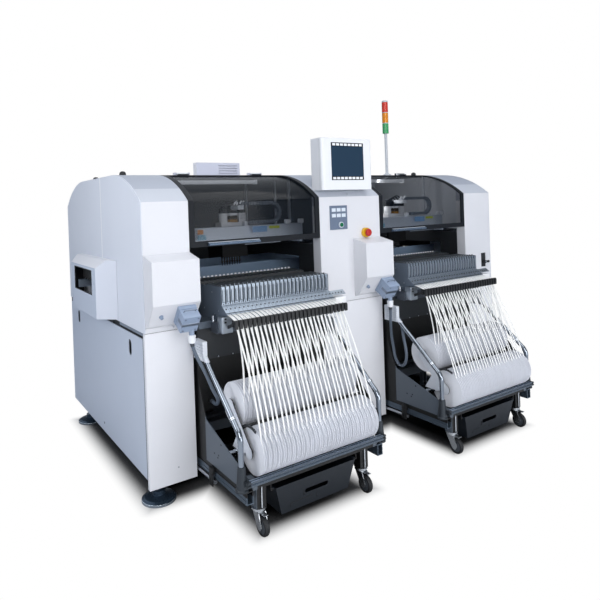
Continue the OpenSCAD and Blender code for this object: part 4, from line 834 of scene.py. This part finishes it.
class MACHINE_OT_gantry(bpy.types.Operator):
    """Makes the drag chains, hoses, stops and lights round the gantries"""
    bl_idname = "machine.gantry"
    bl_label = "Gantry fittings"

    def execute(self, context):
        # Moulded nylon links: grey, half matt
        nylon = finish("nylon chain", "#6b747f", 0.4, edge_mm=0.5)
        # Polyurethane hose: black with a soft gloss
        hose = finish("polyurethane hose", "#1a1c20", 0.35, grain_mm=3)
        # Milled and painted stops
        pale = finish("painted stop", "#d3d9e1", 0.4, grain_mm=3, edge_mm=1)
        # Ground and chromed rod
        bright = finish("chromed beam rod", "#c9ced5", 0.2, metal=1.0)
        # Diffuser of the work light: pale and matt
        opal = finish("opal diffuser", "#eef2f8", 0.5, grain_mm=8)
        for s in SIDES:
            self.drag_chain(s, nylon, context.scene.machine_sizes.link_l)
            self.beam_fittings(s, nylon, pale, bright)
            self.patches(s)
            self.head_fittings(s, opal, pale, hose)
            self.work_light(s, opal)
        return {"FINISHED"}

    def drag_chain(self, s, nylon, link):
        """Chain from its anchor on the beam, round a bend, to the head."""
        head, depth, top = middle(f"head_{s}").x, middle(f"beam_{s}").y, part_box(f"beam_{s}")[1].z
        low_z, high_z, turn_x = top + CHAIN_LOW, top + CHAIN_HIGH, head + CHAIN_TURN
        bm = bmesh.new()
        self.links(bm, head + 0.01, turn_x, turn_x - 0.16, depth, low_z, high_z, link)
        links = piece(f"drag_chain_{s}", bm, nylon, None)
        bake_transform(links)

    def beam_fittings(self, s, nylon, pale, bright):
        """Stops on a beam, the anchor of its chain, and a recess with a rod along its lower front."""
        (left, front, under), (right, _, top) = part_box(f"beam_{s}")
        head, depth = middle(f"head_{s}").x, middle(f"beam_{s}").y
        turn_x, body = head + CHAIN_TURN, f"gantry_beam_{s}"
        bm = bmesh.new()
        block(bm, (turn_x - 0.175, depth - 0.014, top), (turn_x - 0.158, depth + 0.014, top + 0.024), 0.002)
        for x in (left + 0.006, turn_x + 0.052, right - 0.034):
            block(bm, (x, front + 0.003, top), (x + 0.03, front + 0.022, top + 0.024), 0.003)
            for a in (x + 0.005, x + 0.018):
                block(bm, (a, front + 0.002, top + 0.006), (a + 0.008, front + 0.004, top + 0.018))
        piece(f"beam_stops_{s}", bm, pale, body)
        bm = bmesh.new()
        block(bm, (head - 0.005, front - 0.0008, under + 0.006),
              (head + 0.21, front + 0.001, under + 0.032))
        for x in (head - 0.001, head + 0.206):
            rod(bm, (x, front - 0.002, under + 0.019), (x, front, under + 0.019), 0.0025, segments=12)
        piece(f"beam_recess_{s}", bm, nylon, body)
        bm = bmesh.new()
        rod(bm, (head, front, under + 0.016), (head + 0.15, front, under + 0.016), 0.006)
        block(bm, (head + 0.15, front - 0.004, under + 0.01),
              (head + 0.2, front + 0.001, under + 0.026), 0.001)
        piece(f"beam_rod_{s}", bm, bright, body)

    def patches(self, s):
        """Plain coloured patches on the front of a beam."""
        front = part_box(f"beam_{s}")[0].y
        a, z = middle(f"head_{s}").x - 0.268, 1.099
        bm = bmesh.new()
        for x, y, wide, tall in ((0.004, 0.036, 0.03, 0.022), (0.004, 0.008, 0.045, 0.024),
                                 (0.31, 0.03, 0.088, 0.03), (0.412, 0.044, 0.064, 0.014)):
            block(bm, (a + x, front - 0.0006, z + y), (a + x + wide, front + 0.001, z + y + tall))
        # Vinyl film: even, half matt
        vinyl = finish(f"vinyl patch {s}", "#7ba7d6", 0.5, grain_mm=4, zones=[
            (region(x=(a, a + 0.05), z=(z + 0.035, FAR)), "#d9904a", 0.5, 0.0),
            (region(x=(a, a + 0.05), z=(z, z + 0.034)), "#8fc0d8", 0.5, 0.0),
            (region(x=(a + 0.41, a + 0.5), z=(z, FAR)), "#b9c83a", 0.5, 0.0)])
        piece(f"beam_patches_{s}", bm, vinyl, f"gantry_beam_{s}")

    def head_fittings(self, s, opal, pale, hose):
        """Fittings where hoses leave the chain, the chain's bracket, and the hoses of a head."""
        low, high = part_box(f"head_{s}")
        head, depth, body = middle(f"head_{s}").x, middle(f"beam_{s}").y, f"gantry_head_{s}"
        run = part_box(f"beam_{s}")[1].z + CHAIN_HIGH
        bm = bmesh.new()
        for k in range(6):
            a = Vector((head - 0.034 + 0.012 * k, depth - 0.012 + 0.007 * (k % 3),
                        run - 0.006 + 0.006 * (k % 2)))
            rod(bm, a, a + Vector((0.008, 0, 0.016)), 0.0042, 0.003, segments=10)
        piece(f"hose_fittings_{s}", bm, opal, body)
        bm = bmesh.new()
        block(bm, (head - 0.012, depth - 0.014, run - 0.03),
              (head + 0.024, low.y + 0.03, run - 0.008), 0.002)
        piece(f"chain_bracket_{s}", bm, pale, body)
        y = low.y + 0.04
        routes = []
        for k in range(4):
            a = Vector((head - 0.046 + 0.008 * k, y - 0.01 + 0.006 * k, high.z - 0.004))
            b = Vector((head + 0.045 + 0.006 * k, y + 0.012 - 0.008 * k, high.z - 0.024))
            peak = (a + b) / 2 + Vector((0.006 * k - 0.01, 0.01 - 0.008 * k, 0.022 + 0.006 * k))
            routes.append([a, peak, b])
        tube(f"head_hoses_{s}", routes, 0.0035, hose, body)

    def work_light(self, s, opal):
        """Work light under the roof, with a cap on each end."""
        low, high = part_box(f"front_cover_window_{s}")
        bm = bmesh.new()
        block(bm, (low.x + 0.03, FRONT + 0.345, 1.382), (high.x - 0.14, FRONT + 0.375, 1.403), 0.004)
        for x in (low.x + 0.024, high.x - 0.144):
            block(bm, (x, FRONT + 0.343, 1.38), (x + 0.01, FRONT + 0.377, 1.405), 0.002)
        piece(f"work_light_{s}", bm, opal, "machine")

    def links(self, bm, x_start, x_turn, x_end, y, low_z, high_z, link):
        """Links along an upper run, a bend and a lower run."""
        radius = (high_z - low_z) / 2
        upper, bend = x_turn - x_start, math.pi * radius
        total = upper + bend + x_turn - x_end
        for k in range(int(total / link)):
            s = (k + 0.5) * link
            if s < upper:
                place, angle = Vector((x_start + s, y, high_z)), 0
            elif s < upper + bend:
                angle = (s - upper) / radius
                place = Vector((x_turn + radius * math.sin(angle), y,
                                low_z + radius + radius * math.cos(angle)))
            else:
                place, angle = Vector((x_turn - (s - upper - bend), y, low_z)), math.pi
            made = block(bm, (-link * 0.42, -0.014, -0.009), (link * 0.42, 0.014, 0.009), 0.002, 1)
            made += block(bm, (-link * 0.56, -0.01, -0.006), (link * 0.56, 0.01, 0.006))
            turn = Matrix.Rotation(angle, 4, "Y")
            bmesh.ops.transform(bm, matrix=Matrix.Translation(place) @ turn, verts=made)


# Keys in each of the two rows of the screen
KEY_N = 8
# Screws of the covers, and the axis of the lever on the right column, in mm
COVER_SCREWS = ((-36, 1307.6), (-1035, 760), (-1035, 160), (-205, 760), (170, 760), (940, 760), (1140, 760))
LEVER_X, LEVER_Z = 1085, 858


class MACHINE_OT_panel_fittings(bpy.types.Operator):
    """Makes the screen's keys, the screws, the curtains, the louvres and the right column's lever"""
    bl_idname = "machine.panel_fittings"
    bl_label = "Panel fittings"

    def execute(self, context):
        # Keys of the screen: pale plastic with a low gloss
        keys = finish("pale key", "#f2f4f7", 0.4)
        # Lever with a grip of black plastic
        black = finish("black lever", "#101214", 0.4)
        # Zinc plated screws and pins
        zinc = finish("zinc screw", "#b4b9c0", 0.35, metal=1.0, grain_mm=1)
        low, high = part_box("monitor_screen")
        bm = bmesh.new()
        pitch = (high.x - low.x - 0.012) / KEY_N
        half = pitch * 0.38
        for z in (low.z + 0.004, high.z - 0.016):
            for k in range(KEY_N):
                x = low.x + 0.006 + pitch * (k + 0.5)
                block(bm, (x - half, low.y - 0.0012, z), (x + half, low.y + 0.001, z + 0.012), 0.0005, 1)
        piece("screen_keys", bm, keys, "machine")
        self.curtains()
        self.waist_louvres()
        bm = bmesh.new()
        rod(bm, at(LEVER_X, 8, LEVER_Z), at(LEVER_X, -12, LEVER_Z), 0.006)
        rod(bm, at(LEVER_X - 3, -14, LEVER_Z), at(LEVER_X + 37, -16, LEVER_Z - 1), 0.005, 0.008)
        rod(bm, at(LEVER_X, -4, LEVER_Z), at(LEVER_X, -22, LEVER_Z), 0.009)
        piece("column_lever", bm, black, "machine")
        bm = bmesh.new()
        rod(bm, at(LEVER_X, -21, LEVER_Z), at(LEVER_X, -24, LEVER_Z), 0.005)
        for x, z in COVER_SCREWS:
            rod(bm, at(x, 1, z), at(x, -1.2, z), 0.0035, segments=12)
        piece("cover_screws", bm, zinc, "machine")
        return {"FINISHED"}

    def curtains(self):
        """Strips that hang in the board openings, above the boards."""
        # Conductive rubber: black and matt
        rubber = finish("rubber curtain", "#0c0d0f", 0.7, grain_mm=3)
        bm = bmesh.new()
        for side in (-1, 1):
            a, b = sorted((side * 1199, side * 1202))
            block(bm, at(a - 2, 482, 972), at(b + 2, 818, 980))
            for k in range(24):
                y = 486 + 13.7 * k
                block(bm, at(a, y, 912 + 3 * math.sin(1.9 * k)), at(b, y + 12.7, 976))
        piece("opening_curtains", bm, rubber, "machine")

    def waist_louvres(self):
        """Rows of teeth in the gap between the side panels and the covers above them."""
        # Pressed steel under grey paint
        grey = finish("painted louvre", "#8d98a6", 0.5, grain_mm=3)
        bm = bmesh.new()
        low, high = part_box("lower_side_panels")[1].z * 1000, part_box("upper_side_covers")[0].z * 1000
        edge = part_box("upper_side_covers")[1].x * 1000
        for side in (-1, 1):
            a, b = sorted((side * (edge - 5), side * (edge - 2)))
            for k in range(28):
                y = 30 + 11 * k
                block(bm, at(a, y, low + (high - low) * 0.45), at(b, y + 6, high + 3))
        piece("waist_louvres", bm, grey, "machine")


# Direction out of the flared foot of the feeders
FOOT_OUT = Vector((0, -0.593, 0.805))
# Rivets in the side of the first feeder: depth and height above the table, in mm
SIDE_RIVETS = ((-90, 20), (-60, 22), (-78, 44), (-40, 26), (60, 40), (-20, 120), (120, 120), (200, 60))
# Place of the free end of the rack, from the middle of the cart, in mm
RACK_U = 332


class MACHINE_OT_feeder_fittings(bpy.types.Operator):
    """Makes the tips, buttons, cover strips and rivets of the feeders, and the end of their rack"""
    bl_idname = "machine.feeder_fittings"
    bl_label = "Feeder fittings"

    def execute(self, context):
        sizes = context.scene.machine_sizes
        pitch = sizes.feeder_pitch * 1000
        # Moulded tips: white and matt
        white = finish("white tip", "#f4f5f6", 0.45)
        # Dark plastic buttons
        dark = finish("dark button", "#15181c", 0.4)
        # Steel cover strips and rivets
        bright = finish("steel strip", "#aab3bd", 0.35, metal=0.9)
        for s in SIDES:
            tips, dots, strips = bmesh.new(), bmesh.new(), bmesh.new()
            for i in range(sizes.tape_n):
                u = BANK_SHIFT + (i - (sizes.tape_n - 1) / 2) * pitch
                block(tips, on_table(s, u - 5.5, 206, 145.3), on_table(s, u + 5.5, 209, 161), 0.001, 1)
                self.foot_button(dots, s, u)
                rod(dots, on_table(s, u, -106.5, 76), on_table(s, u, -103, 76), 0.0028, segments=8)
                block(strips, on_table(s, u - 2, -80, 150), on_table(s, u + 2, 30, 151.8))
                block(strips, on_table(s, u - 5, 96, 153), on_table(s, u - 2, 190, 154.8))
                for y in (50, 72):
                    rod(strips, on_table(s, u, y, 142), on_table(s, u, y, 145), 0.003, segments=8)
            end = BANK_SHIFT - sizes.tape_n / 2 * pitch + 0.4
            for y, z in SIDE_RIVETS:
                rod(strips, on_table(s, end + 1, y, z), on_table(s, end - 1.2, y, z), 0.0032, segments=10)
            # Free end of the rack under the feet of the feeders
            rack = bmesh.new()
            made = block(rack, (-0.018, -0.014, -0.004), (0.066, 0.016, 0.0), 0.001, 1)
            turn = Matrix.Rotation(math.atan2(28, 38), 4, "X")
            seat = Matrix.Translation(on_table(s, RACK_U, -125, 58))
            bmesh.ops.transform(rack, matrix=seat @ turn, verts=made)
            block(tips, on_table(s, RACK_U, -138, 0.6), on_table(s, RACK_U + 66, -82, 36), 0.002)
            for du in (-9, 9, 27, 45):
                self.foot_button(dots, s, RACK_U + du)
            piece(f"rack_end_{s}", rack, bright, f"cart_{s}")
            piece(f"feeder_tips_{s}", tips, white, f"cart_{s}")
            piece(f"feeder_buttons_{s}", dots, dark, f"cart_{s}")
            piece(f"feeder_strips_{s}", strips, bright, f"cart_{s}")
        return {"FINISHED"}

    def foot_button(self, bm, s, u):
        """Button on the flared foot of a feeder."""
        foot = on_table(s, u, -127, 56.8)
        rod(bm, foot - FOOT_OUT * 0.002, foot + FOOT_OUT * 0.0012, 0.0036, segments=10)


# Holes of a cart's side plates, drawn as black discs of painted shade: depth and height, in mm
PLATE_HOLES = ((-207, 301), (-146, 246), (-183, 250), (-175.5, 238))
# Moulded lines on the front of a bin: left, right, lower and upper edge, in mm
BIN_LINES = ((-130, -20, 83, 85), (-132, -129, 68, 85), (-66, -64, 96, 130), (0, 2, 70, 92))


class MACHINE_OT_cart_fittings(bpy.types.Operator):
    """Makes the rings, blocks, brackets, bolts and bin lines of the carts"""
    bl_idname = "machine.cart_fittings"
    bl_label = "Cart fittings"

    def execute(self, context):
        # Sawn aluminium block with a drawn surface
        alloy = finish("aluminium block", "#a6afb9", 0.35, metal=0.8, brushed=(1, 1, 0.05))
        # Black paint on brackets; the black of the holes and slots is painted shade
        black = finish("black bracket", "#0d0f11", 0.5, grain_mm=3)
        # Chromed rods and bolts
        chrome = finish("chromed rod", "#d5d9de", 0.12, metal=1.0)
        for s in SIDES:
            bright, dark, blocks = bmesh.new(), bmesh.new(), bmesh.new()
            # Aluminium block under the first feeders, with two slots drawn as black blocks of painted shade
            block(blocks, on_cart(s, -293, -140, 728), on_cart(s, -240, -100.3, 797), 0.002)
            for z in (775, 789):
                block(dark, on_cart(s, -281, -140.8, z - 4), on_cart(s, -270, -139, z + 4), 0.001, 1)
            # Latch on the end of the feeder table
            block(bright, on_cart(s, -304, -78, 770), on_cart(s, -284, -52, 782), 0.002)
            rod(bright, on_cart(s, -296, -66, 780), on_cart(s, -296, -66, 797), 0.006)
            for side in (-1, 1):
                self.ring(bright, s, side)
            # Bracket of the docking bar, on each side rail
            for side in (-1, 1):
                a, b = sorted((side * 352.3, side * 368))
                block(dark, on_cart(s, a, -150, 160), on_cart(s, b, -118, 186), 0.002)
                a, b = sorted((side * 362.5, side * 368))
                block(dark, on_cart(s, a, -150, 112), on_cart(s, b, -118, 161), 0.001)
            # Bottom sheet on the cross members
            block(dark, on_cart(s, -340, -330, 222.2), on_cart(s, 340, -60, 223.8))
            for y, z in PLATE_HOLES:
                for side in (-1, 1):
                    rod(dark, on_cart(s, side * 351, y, z), on_cart(s, side * 352.5, y, z), 0.004,
                        segments=12)
            # Screws along the panel
            for k in range(8):
                u = -255 + 73 * k
                rod(bright, on_cart(s, u, -23, 604), on_cart(s, u, -25.5, 604), 0.003, segments=10)
            # Bolts and guide rods of the caster blocks
            for e in SIDES:
                u = (middle(f"caster_fork_{s}{e}").x - CART_X[s]) * 1000
                rod(bright, on_cart(s, u, -392, 108), on_cart(s, u, -392, 190), 0.0035, segments=12)
                for v in (u - 24, u + 24):
                    rod(bright, on_cart(s, v, -394, 205), on_cart(s, v, -399, 205), 0.005, segments=12)
            piece(f"cart_blocks_{s}", blocks, alloy, f"cart_{s}")
            piece(f"cart_brackets_{s}", dark, black, f"cart_{s}")
            piece(f"cart_bolts_{s}", bright, chrome, f"cart_{s}")
            self.bin_lines(s, black)
            self.toothed_strip(s)
        return {"FINISHED"}

    def ring(self, bm, s, side):
        """Two rings round the slanted run of a handle tube, above its bend."""
        low, high = Vector((0, -378, 397)), Vector((0, -100, TABLE_Z - 136))
        along = (high - low).normalized()
        for far in (66, 72):
            a = low + along * far
            b = low + along * (far + 4)
            rod(bm, on_cart(s, side * 358, a.y, a.z), on_cart(s, side * 358, b.y, b.z), 0.0128, segments=24)

    def bin_lines(self, s, material):
        """Moulded lines on the slanted front of a bin."""
        bm = bmesh.new()
        mid = (middle(f"waste_bin_{s}").x - CART_X[s]) * 1000
        for left, right, low, high in BIN_LINES:
            y = -405 + 14 * (168 - (low + high) / 2) / 118
            block(bm, on_cart(s, mid + left, y - 0.8, low), on_cart(s, mid + right, y + 2, high))
        piece(f"bin_lines_{s}", bm, material, f"bin_{s}")

    def toothed_strip(self, s):
        """Toothed strip round the first front reel."""
        # Moulded nylon: dark and matt
        nylon = finish(f"nylon strip {s}", "#2a2e33", 0.5)
        bm = bmesh.new()
        for k in range(11):
            a = math.radians(52 + 6 * k)
            made = block(bm, (-0.004, -0.0036, -0.003), (0.004, 0.0036, 0.006), 0.001, 1)
            made += block(bm, (-0.003, -0.0056, -0.003), (0.003, 0.0056, 0.001))
            seat = Matrix.Translation(on_cart(s, -303, *on_circle(REEL_AXES["front"], 96, a)))
            turn = Matrix.Rotation(a - math.pi / 2, 4, "X")
            bmesh.ops.transform(bm, matrix=seat @ turn, verts=made)
        piece(f"toothed_strip_{s}", bm, nylon, f"cart_{s}")


STEPS = (MACHINE_OT_stage, MACHINE_OT_machine_finishes, MACHINE_OT_cart_finishes, MACHINE_OT_tapes,
         MACHINE_OT_cables, MACHINE_OT_gantry, MACHINE_OT_panel_fittings, MACHINE_OT_feeder_fittings,
         MACHINE_OT_cart_fittings)


class MACHINE_PT_panel(bpy.types.Panel):
    """Lists the colours, the sizes and the steps"""
    bl_idname = "MACHINE_PT_panel"
    bl_label = "Pick and place machine"
    bl_space_type = "VIEW_3D"
    bl_region_type = "UI"
    bl_category = "Machine"

    def draw(self, context):
        for group in (context.scene.machine_colours, context.scene.machine_sizes):
            box = self.layout.box()
            for key in group.__annotations__:
                box.prop(group, key)
        for step in STEPS:
            self.layout.operator(step.bl_idname)


CLASSES = (MachineColours, MachineSizes, *STEPS, MACHINE_PT_panel)


def register():
    for cls in CLASSES:
        bpy.utils.register_class(cls)
    bpy.types.Scene.machine_colours = PointerProperty(type=MachineColours)
    bpy.types.Scene.machine_sizes = PointerProperty(type=MachineSizes)


def unregister():
    del bpy.types.Scene.machine_sizes
    del bpy.types.Scene.machine_colours
    for cls in reversed(CLASSES):
        bpy.utils.unregister_class(cls)


def main():
    register()
    for step in STEPS:
        getattr(bpy.ops.machine, step.bl_idname.split(".")[1])()


if __name__ == "__main__":
    main()
